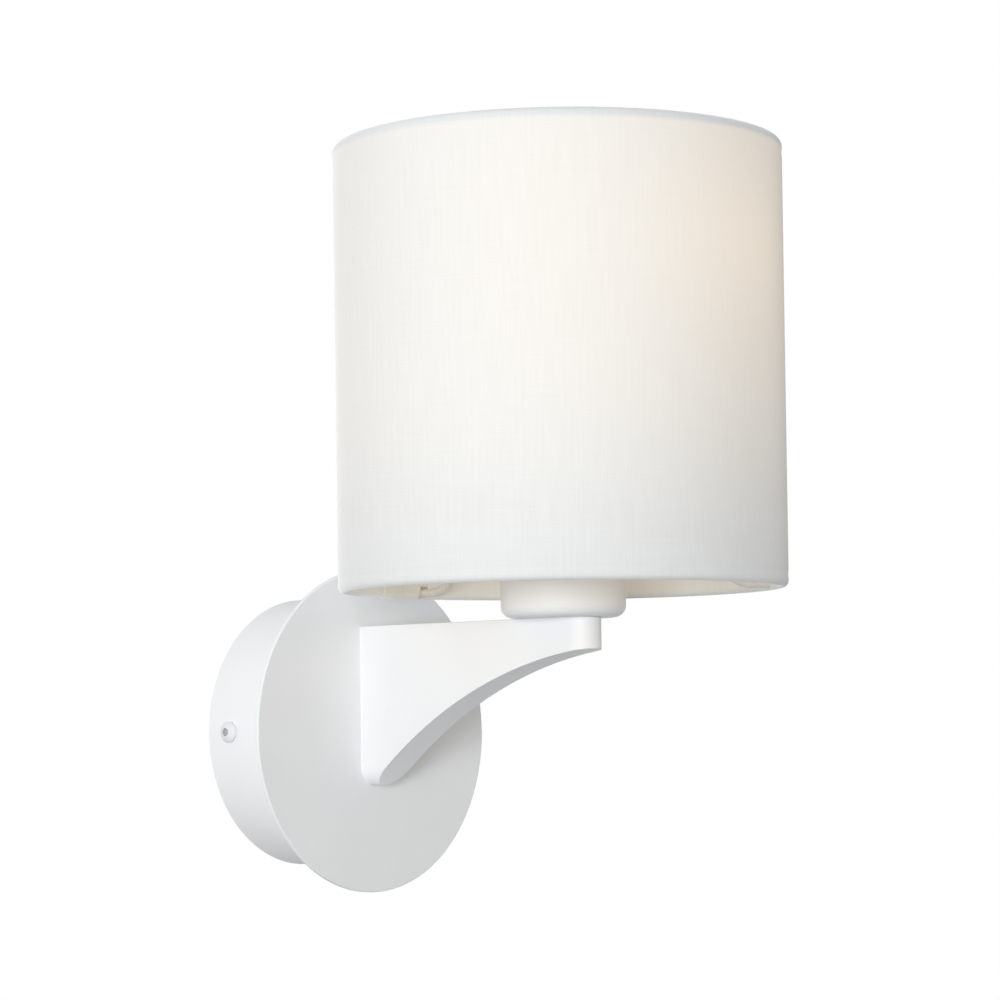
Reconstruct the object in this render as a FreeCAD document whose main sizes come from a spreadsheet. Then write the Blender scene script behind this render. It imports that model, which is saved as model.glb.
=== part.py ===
import FreeCAD, Part
import math
import os

import Sketcher
from FreeCAD import Placement, Rotation, Vector

# Fabric shade wall light.
# The wall is the plane Y = 0 and the light stands out towards -Y, with +Z up and +X to the right as
# seen from the room. The origin is the centre of the wall cup's open back. Lengths are in mm.

os.makedirs("parts", exist_ok=True)
doc = FreeCAD.newDocument("FabricShadeWallLight")

# Driving sizes

driving_sizes = (
    ("canopy_diameter", 93.1, "wall cup, outside"),
    ("canopy_depth", 32.3, "wall to the back of the front disc"),
    ("canopy_wall", 1.2, "sheet of the wall cup"),
    ("canopy_edge_round", 0.8, "outer front edge of the wall cup"),
    ("disc_diameter", 111.7, "front disc"),
    ("disc_thickness", 1.5, "front disc"),
    ("disc_edge_round", 0.4, "both edges of the front disc"),
    ("bracket_thickness", 1.5, "strap on the wall"),
    ("bracket_width", 20, "strap on the wall"),
    ("bracket_tab_depth", 16, "tabs stand out from the wall"),
    ("bracket_tab_gap", 1.2, "tab to the inside of the wall cup"),
    ("bracket_tab_height", 14, "tabs, up and down"),
    ("bracket_bend", 1.2, "inside of the tab's bend"),
    ("wall_slot_spacing", 60, "centre to centre"),
    ("wall_slot_length", 12, "end to end"),
    ("wall_slot_width", 5, "wall screw slot"),
    ("cable_hole_diameter", 12, "supply cable through the strap"),
    ("side_screw_from_wall", 10.1, "cup's side screws"),
    ("screw_diameter", 4, "M4 screws throughout"),
    ("screw_head_diameter", 7.2, "M4 button head"),
    ("screw_head_height", 2.2, "M4 button head"),
    ("screw_socket_flats", 2.5, "hexagon socket"),
    ("screw_socket_depth", 1.3, "hexagon socket"),
    ("side_screw_length", 7, "under the head"),
    ("arm_screw_length", 9.5, "under the head"),
    ("earth_screw_length", 2.8, "under the head"),
    ("thread_clearance", 0.05, "shank to its tapped hole, all round"),
    ("screw_clearance", 0.3, "shank to a plain hole, all round"),
    ("washer_diameter", 9, "M4 washer"),
    ("washer_thickness", 0.8, "M4 washer"),
    ("arm_width", 13, "bracket arm"),
    ("arm_top", 36, "flat top of the arm above the centre"),
    ("arm_overhang", 14.3, "arm beyond the lamp's axis"),
    ("arm_tip_height", 10.5, "arm at its tip"),
    ("arm_root_height", 59.6, "arm's underside curve where it meets the disc"),
    ("arm_foot_height", 55, "rounded foot below the arm's top"),
    ("arm_curve_radius", 167.4, "hollow underside"),
    ("arm_edge_round", 0.4, "top edges of the arm"),
    ("shade_reach", 121.6, "wall to the lamp's axis"),
    ("duct_diameter", 6, "wire duct in the arm"),
    ("duct_drop", 8, "duct below the arm's top"),
    ("arm_screw_drop", 18, "upper arm screw below the arm's top"),
    ("arm_screw_spacing", 26, "upper to lower arm screw"),
    ("arm_screw_grip", 8.2, "tapped hole in the arm"),
    ("grommet_neck", 7.2, "rubber grommet in the wall cup"),
    ("grommet_flange", 9.6, "both flanges"),
    ("grommet_bore", 5, "for the leads"),
    ("grommet_lip", 1.4, "flange inside the wall cup"),
    ("nipple_diameter", 10, "hollow threaded nipple"),
    ("nipple_bore", 7, "hollow threaded nipple"),
    ("nipple_depth", 4.7, "nipple in the arm"),
    ("nipple_hole_depth", 4.85, "tapped hole in the arm"),
    ("nipple_stand", 12.9, "nipple above the arm"),
    ("tooth_washer_diameter", 16, "toothed washer on the cup's floor"),
    ("tooth_washer_thickness", 0.6, "toothed washer"),
    ("tooth_count", 12, "toothed washer"),
    ("tooth_depth", 1.6, "gaps between the washer's teeth"),
    ("tooth_gap", 0.9, "half a gap between the washer's teeth, past its rim"),
    ("nut_flats", 14, "lock nut"),
    ("nut_thickness", 3, "lock nut"),
    ("cup_diameter", 41.5, "cup over the lampholder"),
    ("cup_height", 24, "cup over the lampholder"),
    ("cup_wall", 1, "cup over the lampholder"),
    ("cup_corner_round", 4, "outer bottom corner of the cup"),
    ("dome_diameter", 38.6, "lampholder dome"),
    ("dome_height", 20, "lampholder dome with its boss"),
    ("dome_wall", 1.8, "lampholder dome"),
    ("dome_boss_diameter", 17, "boss round the nipple"),
    ("dome_boss_height", 6, "boss round the nipple"),
    ("dome_boss_shoulder", 1, "where the dome leaves the boss, below its top"),
    ("dome_slope", 5, "rise of the dome's cone above the boss"),
    ("dome_inside_slope", 3, "inside corner of the dome"),
    ("dome_ledge", 1.4, "ledge under the insert's rim"),
    ("insert_play", 0.15, "insert to the dome, all round"),
    ("insert_diameter", 34.6, "lampholder insert"),
    ("insert_flange", 3.6, "insert's rim in the dome"),
    ("insert_neck", 6.4, "insert's neck above its rim"),
    ("terminal_offset", 7.5, "lead holes to the lamp's axis"),
    ("terminal_hole", 3, "lead holes"),
    ("terminal_hole_depth", 5, "lead holes and screw holes of the insert"),
    ("terminal_screw_offset", 4.6, "terminal screw beside its lead hole"),
    ("skirt_diameter", 39.2, "lampholder skirt, over its thread"),
    ("skirt_height", 31.4, "lampholder skirt"),
    ("skirt_bore", 34, "lampholder skirt"),
    ("skirt_lip_bore", 28.6, "guard lip at the top of the skirt"),
    ("skirt_lip", 4, "guard lip at the top of the skirt"),
    ("shell_bore", 27, "screw shell"),
    ("shell_wall", 0.4, "screw shell"),
    ("shell_height", 25, "screw shell"),
    ("contact_rise", 2.4, "centre contact above the insert"),
    ("contact_strip", 0.5, "sheet of the centre contact"),
    ("contact_width", 6, "centre contact"),
    ("contact_foot", 9, "riveted end of the centre contact, from the axis"),
    ("contact_reach", 4, "free end of the centre contact, beyond the axis"),
    ("contact_slope", 3, "sloping part of the centre contact"),
    ("collar_diameter", 57, "shade rings"),
    ("collar_hub_diameter", 45, "hub of the shade rings"),
    ("collar_flange", 3, "flange of the shade rings"),
    ("collar_height", 6, "shade rings"),
    ("collar_clearance", 0.06, "shade ring to the skirt, all round"),
    ("collar_grip_count", 20, "finger hollows round a shade ring"),
    ("grip_radius", 2.2, "finger hollows"),
    ("grip_depth", 0.9, "finger hollows"),
    ("cup_to_collar", 0.4, "lower shade ring above the cup's rim"),
    ("fitter_play", 0.15, "fitter ring to each shade ring"),
    ("fitter_thickness", 1.5, "ring of the spider"),
    ("fitter_bore", 40.6, "ring of the spider"),
    ("fitter_diameter", 64, "ring of the spider"),
    ("spider_wire", 2.8, "spider arms"),
    ("spider_first_angle", 84, "degrees from +X to the arm nearest the wall"),
    ("spider_weld_gap", 0.1, "arm's end to the ring that it is welded to"),
    ("shade_bottom", 45, "lower rim of the shade above the centre"),
    ("shade_height", 148.4, "drum shade"),
    ("shade_diameter", 150, "drum shade, at its top"),
    ("shade_taper", 1, "lower rim narrower than the top"),
    ("fabric_thickness", 0.5, "linen"),
    ("liner_thickness", 0.4, "translucent sheet behind the linen"),
    ("layer_gap", 0.1, "between the layers of the shade"),
    ("rim_wire", 3, "top and bottom wire rings"),
    ("hem_height", 9, "linen turned down inside each rim"),
    ("notch_clearance", 0.4, "hem notch to the spider arm, all round"),
    ("bulb_seat_gap", 0.3, "bulb's tip above the centre contact"),
    ("bulb_length", 108, "tip contact to the top of the globe"),
    ("bulb_diameter", 60, "globe"),
    ("globe_wall", 1, "globe"),
    ("globe_seam_drop", 13, "globe's rim below its middle"),
    ("cap_diameter", 26, "bulb's screw cap"),
    ("cap_wall", 0.5, "bulb's screw cap"),
    ("cap_height", 20, "bulb's screw cap"),
    ("cap_shoulder", 3, "slope at the foot of the screw cap"),
    ("cap_thread_depth", 1, "rolled thread, kept clear by the housing"),
    ("cap_insulator_height", 4.6, "glass foot of the cap"),
    ("cap_foot_diameter", 22, "narrow end of the screw cap"),
    ("tip_diameter", 9.5, "tip contact"),
    ("tip_height", 1.6, "tip contact"),
    ("housing_neck_diameter", 29, "bulb housing above the cap"),
    ("housing_collar_height", 3, "straight neck above the cap"),
    ("housing_curve_radius", 60, "hollow side of the housing"),
    ("light_board_diameter", 46, "round board in the bulb"),
    ("light_board_thickness", 1.6, "round board in the bulb"),
    ("light_chip_count", 10, "chips on the board"),
    ("light_chip_size", 3, "chips on the board"),
    ("light_chip_height", 0.7, "chips on the board"),
    ("light_chip_circle_radius", 15, "ring of chips"),
    ("block_width", 15, "terminal block along its leads"),
    ("block_length", 26, "terminal block across its poles"),
    ("block_depth", 12, "terminal block from the strap"),
    ("block_offset", 16, "terminal block to the cable hole"),
    ("pole_pitch", 8.5, "terminal block"),
    ("pole_tube_diameter", 4.4, "brass tube of a pole"),
    ("pole_tube_bore", 3, "brass tube of a pole"),
    ("pole_screw_diameter", 2.6, "clamp screw of a pole"),
    ("pole_screw_spacing", 7, "the two clamp screws of a pole"),
    ("pole_screw_slot", 0.5, "driver slot of a clamp screw"),
    ("pole_screw_slot_depth", 0.7, "driver slot of a clamp screw"),
    ("pole_tube_inset", 1, "tube's end inside the housing's face"),
    ("small_screw_diameter", 3, "M3 screws"),
    ("small_head_diameter", 5, "M3 cheese head"),
    ("small_head_height", 1.8, "M3 cheese head"),
    ("block_screw_length", 13.2, "under the head"),
    ("earth_screw_offset", 16, "earth screw to the cable hole"),
    ("cup_washer_diameter", 8, "earth screw's cupped washer"),
    ("cup_washer_height", 1.4, "earth screw's cupped washer"),
    ("cup_washer_rim", 0.8, "earth screw's cupped washer"),
    ("lead_diameter", 1.8, "leads over their sleeve"),
    ("lead_pair_gap", 0.3, "between the two lamp leads"),
    ("lead_bend", 6.2, "leads where the duct turns up into the nipple"),
    ("lead_in_tube", 3, "lead's end inside the terminal block"),
    ("lead_lift", 5, "leads' first rise from the block's poles, away from the wall"),
    ("lead_lean", 12.5, "leads' rise from the poles where they turn to the duct"),
    ("line_lead_run", 4.5, "line lead's straight run out of the block"),
    ("line_lead_offset", 0.5, "line lead's bend, to the side of the centre"),
    ("line_lead_height", 13, "line lead's bend above the centre"),
    ("neutral_lead_run", 8.5, "neutral lead's straight run out of the block"),
    ("neutral_lead_offset", 6.5, "neutral lead's bend, to the side of the centre"),
    ("lead_above_nipple", 1.6, "leads part above the nipple"),
    ("lead_below_insert", 2.5, "leads turn up below the insert"),
    ("lead_in_insert", 4.4, "leads' ends inside the insert"),
    ("earth_lead_straight", 16, "earth lead leaves the strap, above the centre"),
    ("earth_lead_crown", 27, "top of the earth lead's bow, above the centre"),
    ("earth_lead_crown_depth", 11, "top of the bow, from the wall"),
    ("earth_lead_crown_offset", 2, "top of the bow, beside the earth screw"),
    ("earth_lead_fall", 25, "bow's far bend, above the centre"),
    ("earth_lead_fall_depth", 22, "bow's far bend, from the wall"),
    ("earth_lead_fall_offset", 6, "bow's far bend, beside the earth screw"),
    ("earth_lead_turn_offset", 3, "turn into the tag, beside the earth screw"),
    ("earth_lead_in_tag", 4, "earth lead's end inside the tag's barrel"),
    ("tag_thickness", 0.8, "earth tag"),
    ("tag_diameter", 8.4, "earth tag"),
    ("tag_barrel_diameter", 3.6, "earth tag"),
    ("tag_barrel_length", 7, "earth tag"),
    ("tag_neck", 1.2, "flat between the tag's ring and its barrel"),
)

sheet = doc.addObject("Spreadsheet::Sheet", "Size")
for row, (alias, value, meaning) in enumerate(driving_sizes, start=1):
    sheet.set(f"A{row}", meaning)
    sheet.set(f"B{row}", str(value))
    sheet.setAlias(f"B{row}", alias)
doc.recompute()

# Seats worked out from the sizes above

disc_front = "(Size.canopy_depth + Size.disc_thickness)"
plate_inside = "(Size.canopy_depth - Size.canopy_wall)"
canopy_radius = "(Size.canopy_diameter / 2)"
tab_face = f"({canopy_radius} - Size.canopy_wall - Size.bracket_tab_gap)"
screw_radius = "(Size.screw_diameter / 2 - Size.thread_clearance)"
tapped_hole = "Size.screw_diameter / 2"
plain_hole = f"({screw_radius} + Size.screw_clearance)"
small_screw_radius = "(Size.small_screw_diameter / 2 - Size.thread_clearance)"

duct_height = "(Size.arm_top - Size.duct_drop)"
upper_screw_height = "(Size.arm_top - Size.arm_screw_drop)"
lower_screw_height = f"({upper_screw_height} - Size.arm_screw_spacing)"

cup_floor = "(Size.arm_top + Size.cup_wall)"
nut_seat = f"({cup_floor} + Size.tooth_washer_thickness)"
dome_seat = f"({nut_seat} + Size.nut_thickness)"
dome_rim = f"({dome_seat} + Size.dome_height)"
insert_seat = f"({dome_rim} - Size.insert_flange)"
neck_top = f"({dome_rim} + Size.insert_neck)"
lower_collar_seat = "(Size.arm_top + Size.cup_height + Size.cup_to_collar)"
fitter_seat = f"({lower_collar_seat} + Size.collar_height + Size.fitter_play)"
upper_collar_seat = f"({fitter_seat} + Size.fitter_thickness + Size.fitter_play)"
bulb_seat = f"({neck_top} + Size.contact_rise + Size.bulb_seat_gap)"

cap_foot = "(Size.tip_height + Size.cap_insulator_height)"
cap_rim = f"({cap_foot} + Size.cap_height)"
globe_middle = "(Size.bulb_length - Size.bulb_diameter / 2)"
globe_seam = f"({globe_middle} - Size.globe_seam_drop)"
globe_seam_radius = "sqrt(pow(Size.bulb_diameter / 2; 2) - pow(Size.globe_seam_drop; 2))"
globe_inner_seam_radius = (
    "sqrt(pow(Size.bulb_diameter / 2 - Size.globe_wall; 2) - pow(Size.globe_seam_drop; 2))"
)

block_face = "(Size.bracket_thickness + Size.block_depth)"
pole_depth = "(Size.bracket_thickness + Size.block_depth / 2)"
lead_offset = "((Size.lead_diameter + Size.lead_pair_gap) / 2)"

spider_arm_count = 3
spider_level_share = 0.25  # of an arm's span, level with the fitter ring
spider_drop_share = 0.72  # of an arm's span, where it is level with the rim wire
head_edge_share = 0.35  # of a domed head's height
driver_slot_share = 0.12  # half a driver slot to its head's radius
bend_share = 0.45  # the most of a run that a bend may take
same_place = 1e-4
nodes = {}


def size(expression):
    """The number that an expression of the sheet's sizes comes to."""
    return float(sheet.evalExpression(expression))


# Pieces, their outlines, and what is cut from them or rounded

def new_body(label, keep=True):
    body = doc.addObject("PartDesign::Body", label)
    body.Label = label
    if keep:
        nodes[label] = body
    return body


def place(body, x="0", y="0", z="0", axis=Vector(0, 0, 1), angle=0):
    """Stand a piece at a point of the light, turned by a fixed angle about an axis."""
    body.Placement = Placement(Vector(), Rotation(axis, angle))
    body.setExpression("Placement.Base.x", x)
    body.setExpression("Placement.Base.y", y)
    body.setExpression("Placement.Base.z", z)


def on_lamp_axis(body, seat="0"):
    place(body, y="-Size.shade_reach", z=seat)


def origin_feature(body, role):
    return next(item for item in body.Origin.OriginFeatures if item.Role == role)


def new_sketch(body, name, role, offset="0"):
    """A sketch on one of the body's own planes, moved along that plane's normal by an offset."""
    sketch = body.newObject("Sketcher::SketchObject", f"{body.Name}_{name}")
    sketch.AttachmentSupport = [(origin_feature(body, role), "")]
    sketch.MapMode = "FlatFace"
    sketch.setExpression("AttachmentOffset.Base.z", offset)
    return sketch


def pin_point(sketch, edge, end, across, along):
    """Tie a point of a sketch to its two coordinates."""
    for kind, expression, axis in (("DistanceX", across, -2), ("DistanceY", along, -1)):
        if expression == "0":
            sketch.addConstraint(Sketcher.Constraint("PointOnObject", edge, end, axis))
        else:
            index = sketch.addConstraint(
                Sketcher.Constraint(kind, -1, 1, edge, end, size(expression)))
            sketch.setExpression(f"Constraints[{index}]", expression)


def arc_between(start, finish, radius):
    """The short arc from start to finish, anticlockwise where its radius is positive."""
    chord = finish - start
    half = chord.Length / 2
    rise = math.sqrt(max(radius * radius - half * half, 0.0))
    left = Vector(-chord.y, chord.x, 0).normalize()
    centre = start + chord * 0.5 + left * math.copysign(rise, radius)
    first, last = (start, finish) if radius > 0 else (finish, start)
    angles = [math.atan2(point.y - centre.y, point.x - centre.x) for point in (first, last)]
    circle = Part.Circle(centre, Vector(0, 0, 1), abs(radius))
    return Part.ArcOfCircle(circle, *angles)


def draw_outline(sketch, points):
    """Draw a closed outline through points of two expressions each.

    A third entry bends the edge to the next point: ("radius", expression) is an arc of that radius,
    ("centre x" or "centre y", expression, turn) an arc whose centre has that coordinate. A minus sign
    before the radius, or a turn of -1, takes the arc clockwise.
    """
    spots = [Vector(size(point[0]), size(point[1]), 0) for point in points]
    edges = []
    for number, point in enumerate(points):
        start, finish = spots[number], spots[(number + 1) % len(points)]
        if len(point) == 2:
            edge = sketch.addGeometry(Part.LineSegment(start, finish))
            edges.append((edge, 1, 2))
            continue
        kind, expression = point[2][0], point[2][1]
        middle = (start + finish) * 0.5
        if kind == "radius":
            radius = size(expression)
        elif kind == "centre x":
            across = size(expression) - middle.x
            chord = finish - start
            slope = across / -chord.y if abs(chord.y) > 1e-9 else 0.0
            radius = point[2][2] * math.hypot(chord.Length / 2, slope * chord.Length)
        else:
            radius = point[2][2] * math.hypot((finish - start).Length / 2, size(expression) - middle.y)
        edge = sketch.addGeometry(arc_between(start, finish, radius))
        edges.append((edge, 1, 2) if radius > 0 else (edge, 2, 1))
        if kind == "radius":
            index = sketch.addConstraint(Sketcher.Constraint("Radius", edge, abs(radius)))
            sketch.setExpression(f"Constraints[{index}]", f"abs({expression})")
        elif expression == "0":
            axis = -2 if kind == "centre x" else -1
            sketch.addConstraint(Sketcher.Constraint("PointOnObject", edge, 3, axis))
        else:
            distance = "DistanceX" if kind == "centre x" else "DistanceY"
            index = sketch.addConstraint(
                Sketcher.Constraint(distance, -1, 1, edge, 3, size(expression)))
            sketch.setExpression(f"Constraints[{index}]", expression)
    for number, (edge, _, end) in enumerate(edges):
        next_edge, next_start, _ = edges[(number + 1) % len(edges)]
        sketch.addConstraint(Sketcher.Constraint("Coincident", edge, end, next_edge, next_start))
    for (edge, start_end, _), point in zip(edges, points):
        pin_point(sketch, edge, start_end, point[0], point[1])


def draw_circle(sketch, across, along, radius):
    spot = Vector(size(across), size(along), 0)
    edge = sketch.addGeometry(Part.Circle(spot, Vector(0, 0, 1), size(radius)))
    pin_point(sketch, edge, 3, across, along)
    index = sketch.addConstraint(Sketcher.Constraint("Radius", edge, size(radius)))
    sketch.setExpression(f"Constraints[{index}]", radius)


def draw_hexagon(sketch, flats):
    corner = f"({flats}) / 2 / cos(30)"
    draw_outline(sketch, [(f"{corner} * cos({turn})", f"{corner} * sin({turn})")
                          for turn in range(30, 390, 60)])


def draw_slot(sketch, centre, length, width):
    """A slot along the sketch's first axis, with round ends."""
    reach = f"(({length}) - ({width})) / 2"
    left, right = f"{centre} - {reach}", f"{centre} + {reach}"
    low, high = f"-({width}) / 2", f"({width}) / 2"
    draw_outline(sketch, [(left, low), (right, low, ("centre x", right, 1)),
                          (right, high), (left, high, ("centre x", left, 1))])


def turned(body, points, plane="XZ_Plane", axis="V_Axis"):
    """A piece turned on a lathe: its outline goes once round an axis of the sketch."""
    sketch = new_sketch(body, "outline", plane)
    draw_outline(sketch, points)
    feature = body.newObject("PartDesign::Revolution", f"{body.Name}_turned")
    feature.Profile = sketch
    feature.ReferenceAxis = (sketch, [axis])
    feature.Angle = 360
    doc.recompute()
    return feature


def tube(body, inner, outer, height, foot="0"):
    """A plain ring or tube round the upright axis."""
    top = f"{foot} + {height}"
    return turned(body, [(inner, foot), (outer, foot), (outer, top), (inner, top)])


def pad(body, sketch, length, both_ways=False, backwards=False):
    feature = body.newObject("PartDesign::Pad", f"{sketch.Name}_pad")
    feature.Profile = sketch
    feature.setExpression("Length", length)
    if both_ways:
        feature.SideType = "Symmetric"
    feature.Reversed = backwards
    doc.recompute()
    return feature


def pocket(body, sketch, depth=None, along_normal=False):
    """Cut a sketch's shape out of the body, right through it where no depth is given."""
    before = body.Shape.Volume
    feature = body.newObject("PartDesign::Pocket", f"{sketch.Name}_cut")
    feature.Profile = sketch
    if depth is None:
        feature.Type = "ThroughAll"
        feature.SideType = "Symmetric"
    else:
        feature.setExpression("Length", depth)
        feature.Reversed = along_normal
    doc.recompute()
    if body.Shape.Volume > before - 1e-6:
        raise RuntimeError(f"{feature.Name} cuts nothing")
    return feature


def round_edges(body, radius, picks):
    """Round those edges of the body that picks says yes to."""
    base = body.Tip
    names = [f"Edge{number}" for number, edge in enumerate(base.Shape.Edges, start=1) if picks(edge)]
    if not names:
        raise RuntimeError(f"no edge to round on {body.Name}")
    feature = body.newObject("PartDesign::Fillet", f"{body.Name}_round{len(body.Group)}")
    feature.Base = (base, names)
    feature.setExpression("Radius", radius)
    body.Tip = feature
    doc.recompute()
    return feature


def around_axis(body, features, count):
    """Repeat features evenly round the body's upright axis."""
    pattern = body.newObject("PartDesign::PolarPattern", f"{body.Name}_pattern")
    pattern.Originals = features
    pattern.Axis = (origin_feature(body, "Z_Axis"), [""])
    pattern.Angle = 360
    if isinstance(count, str):
        pattern.setExpression("Occurrences", count)
    else:
        pattern.Occurrences = count
    body.Tip = pattern
    doc.recompute()
    return pattern


def group(label, pieces):
    """Like pieces that share one node."""
    together = doc.addObject("Part::Compound", label)
    together.Label = label
    together.Links = pieces
    nodes[label] = together
    return together


def level(edge, height):
    box = edge.BoundBox
    return abs(box.ZMin - height) < same_place and abs(box.ZMax - height) < same_place


def screw(label, length, radius=screw_radius, head="Size.screw_head_diameter / 2",
          head_height="Size.screw_head_height", domed=True):
    """A screw with its head's underside at the height 0 and its shank below.

    A domed head has a hexagon socket, a flat one a driver slot.
    """
    body = new_body(label, keep=False)
    edge_height = f"{head_height} * {head_edge_share}" if domed else head_height
    crown = (head, edge_height, ("centre x", "0", 1)) if domed else (head, edge_height)
    turned(body, [("0", f"-({length})"), (radius, f"-({length})"), (radius, "0"), (head, "0"),
                  crown, ("0", head_height)])
    recess = new_sketch(body, "recess", "XY_Plane", head_height)
    if domed:
        draw_hexagon(recess, "Size.screw_socket_flats")
        pocket(body, recess, "Size.screw_socket_depth")
    else:
        reach, half = f"({head}) * 1.2", f"({head}) * {driver_slot_share}"
        draw_outline(recess, [(f"-{reach}", f"-{half}"), (reach, f"-{half}"),
                              (reach, half), (f"-{reach}", half)])
        pocket(body, recess, f"{head_height} * 0.5")
    return body


def bent_path(points, name, limits):
    """Straight runs joined by tangent arcs, each as large as its runs and its limit allow."""
    edges = []
    last = points[0]
    for number in range(1, len(points) - 1):
        corner = points[number]
        back, ahead = points[number - 1] - corner, points[number + 1] - corner
        turn = math.pi - back.getAngle(ahead)
        radius = bend_share * min(back.Length, ahead.Length) / math.tan(turn / 2)
        radius = min(radius, limits.get(number, radius))
        print(f"{name}: bend radius {radius:.1f}")
        back.normalize()
        ahead.normalize()
        trim = radius * math.tan(turn / 2)
        start, finish = corner + back * trim, corner + ahead * trim
        inward = (back + ahead).normalize()
        middle = corner + inward * (radius / math.cos(turn / 2) - radius)
        edges.append(Part.LineSegment(last, start).toShape())
        edges.append(Part.Arc(start, middle, finish).toShape())
        last = finish
    edges.append(Part.LineSegment(last, points[-1]).toShape())
    return Part.Wire(edges)


def bent_rod(name, points, diameter, limits=None):
    """A round wire along a bent path, as a solid."""
    path = bent_path(points, name, limits or {})
    circle = Part.Circle(points[0], points[1] - points[0], diameter / 2)
    solid = path.makePipeShell([Part.Wire([circle.toShape()])], True, True)
    expected = math.pi * diameter * diameter / 4 * path.Length
    if abs(solid.Volume / expected - 1) > 0.01:
        raise RuntimeError(f"{name} has the volume {solid.Volume:.1f}, not {expected:.1f}")
    print(f"{name}: length {path.Length:.1f}")
    return solid


def keep_shape(label, shape):
    piece = doc.addObject("Part::Feature", label)
    piece.Label = label
    piece.Shape = shape
    nodes[label] = piece


# Wall strap: a bar bent up at both ends into tapped tabs

def make_wall_bracket():
    body = new_body("wall_bracket")
    inner_face = f"({tab_face} - Size.bracket_thickness)"
    outline = new_sketch(body, "outline", "XY_Plane")
    draw_outline(outline, [
        (tab_face, "0"), (f"-{tab_face}", "0"),
        (f"-{tab_face}", "-Size.bracket_tab_depth"), (f"-{inner_face}", "-Size.bracket_tab_depth"),
        (f"-{inner_face}", "-Size.bracket_thickness"), (inner_face, "-Size.bracket_thickness"),
        (inner_face, "-Size.bracket_tab_depth"), (tab_face, "-Size.bracket_tab_depth")])
    pad(body, outline, "Size.bracket_width", both_ways=True)

    face, inner = size(tab_face), size(inner_face)
    thickness = size("Size.bracket_thickness")

    def upright_at(edge, across, depth):
        box = edge.BoundBox
        return (box.ZLength > thickness and abs(abs(edge.CenterOfMass.x) - across) < same_place
                and abs(edge.CenterOfMass.y + depth) < same_place)

    round_edges(body, "Size.bracket_bend", lambda edge: upright_at(edge, inner, thickness))
    round_edges(body, "Size.bracket_bend + Size.bracket_thickness",
                lambda edge: upright_at(edge, face, 0))

    # The tabs are narrower than the strap.
    trim = new_sketch(body, "tab_trim", "YZ_Plane")
    start = "-(Size.bracket_thickness + Size.bracket_bend)"
    past = "-(Size.bracket_tab_depth * 1.2)"
    for side in ("", "-"):
        draw_outline(trim, [(start, f"{side}Size.bracket_tab_height / 2"),
                            (past, f"{side}Size.bracket_tab_height / 2"),
                            (past, f"{side}Size.bracket_width"), (start, f"{side}Size.bracket_width")])
    pocket(body, trim)

    holes = new_sketch(body, "holes", "XZ_Plane")
    for side in ("-", ""):
        draw_slot(holes, f"{side}Size.wall_slot_spacing / 2", "Size.wall_slot_length",
                  "Size.wall_slot_width")
    draw_circle(holes, "0", "0", "Size.cable_hole_diameter / 2")
    draw_circle(holes, "Size.earth_screw_offset", "0", tapped_hole)
    draw_circle(holes, "-Size.block_offset", "Size.pole_pitch / 2", "Size.small_screw_diameter / 2")
    pocket(body, holes)

    tapped = new_sketch(body, "side_holes", "YZ_Plane")
    draw_circle(tapped, "-Size.side_screw_from_wall", "0", tapped_hole)
    pocket(body, tapped)


def make_earth_terminal():
    washer = new_body("earth_washer")
    inside = f"({screw_radius} + Size.thread_clearance * 3)"
    rim = "Size.cup_washer_diameter / 2"
    rim_inside = f"({rim} - Size.cup_washer_rim)"
    turned(washer, [(inside, "Size.cup_washer_height / 2"), (rim_inside, "Size.cup_washer_height / 2"),
                    (rim_inside, "0"), (rim, "0"), (rim, "Size.cup_washer_height"),
                    (inside, "Size.cup_washer_height")])
    place(washer, "Size.earth_screw_offset", "-Size.bracket_thickness", "0", Vector(1, 0, 0), 90)
    body = screw("earth_screw", "Size.earth_screw_length")
    nodes["earth_screw"] = body
    place(body, "Size.earth_screw_offset", "-Size.bracket_thickness - Size.cup_washer_height", "0",
          Vector(1, 0, 0), 90)


# Terminal block: a moulded housing with three brass tubes, six clamp screws and a fixing screw

pole_heights = ("Size.pole_pitch", "0", "-Size.pole_pitch")


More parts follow.
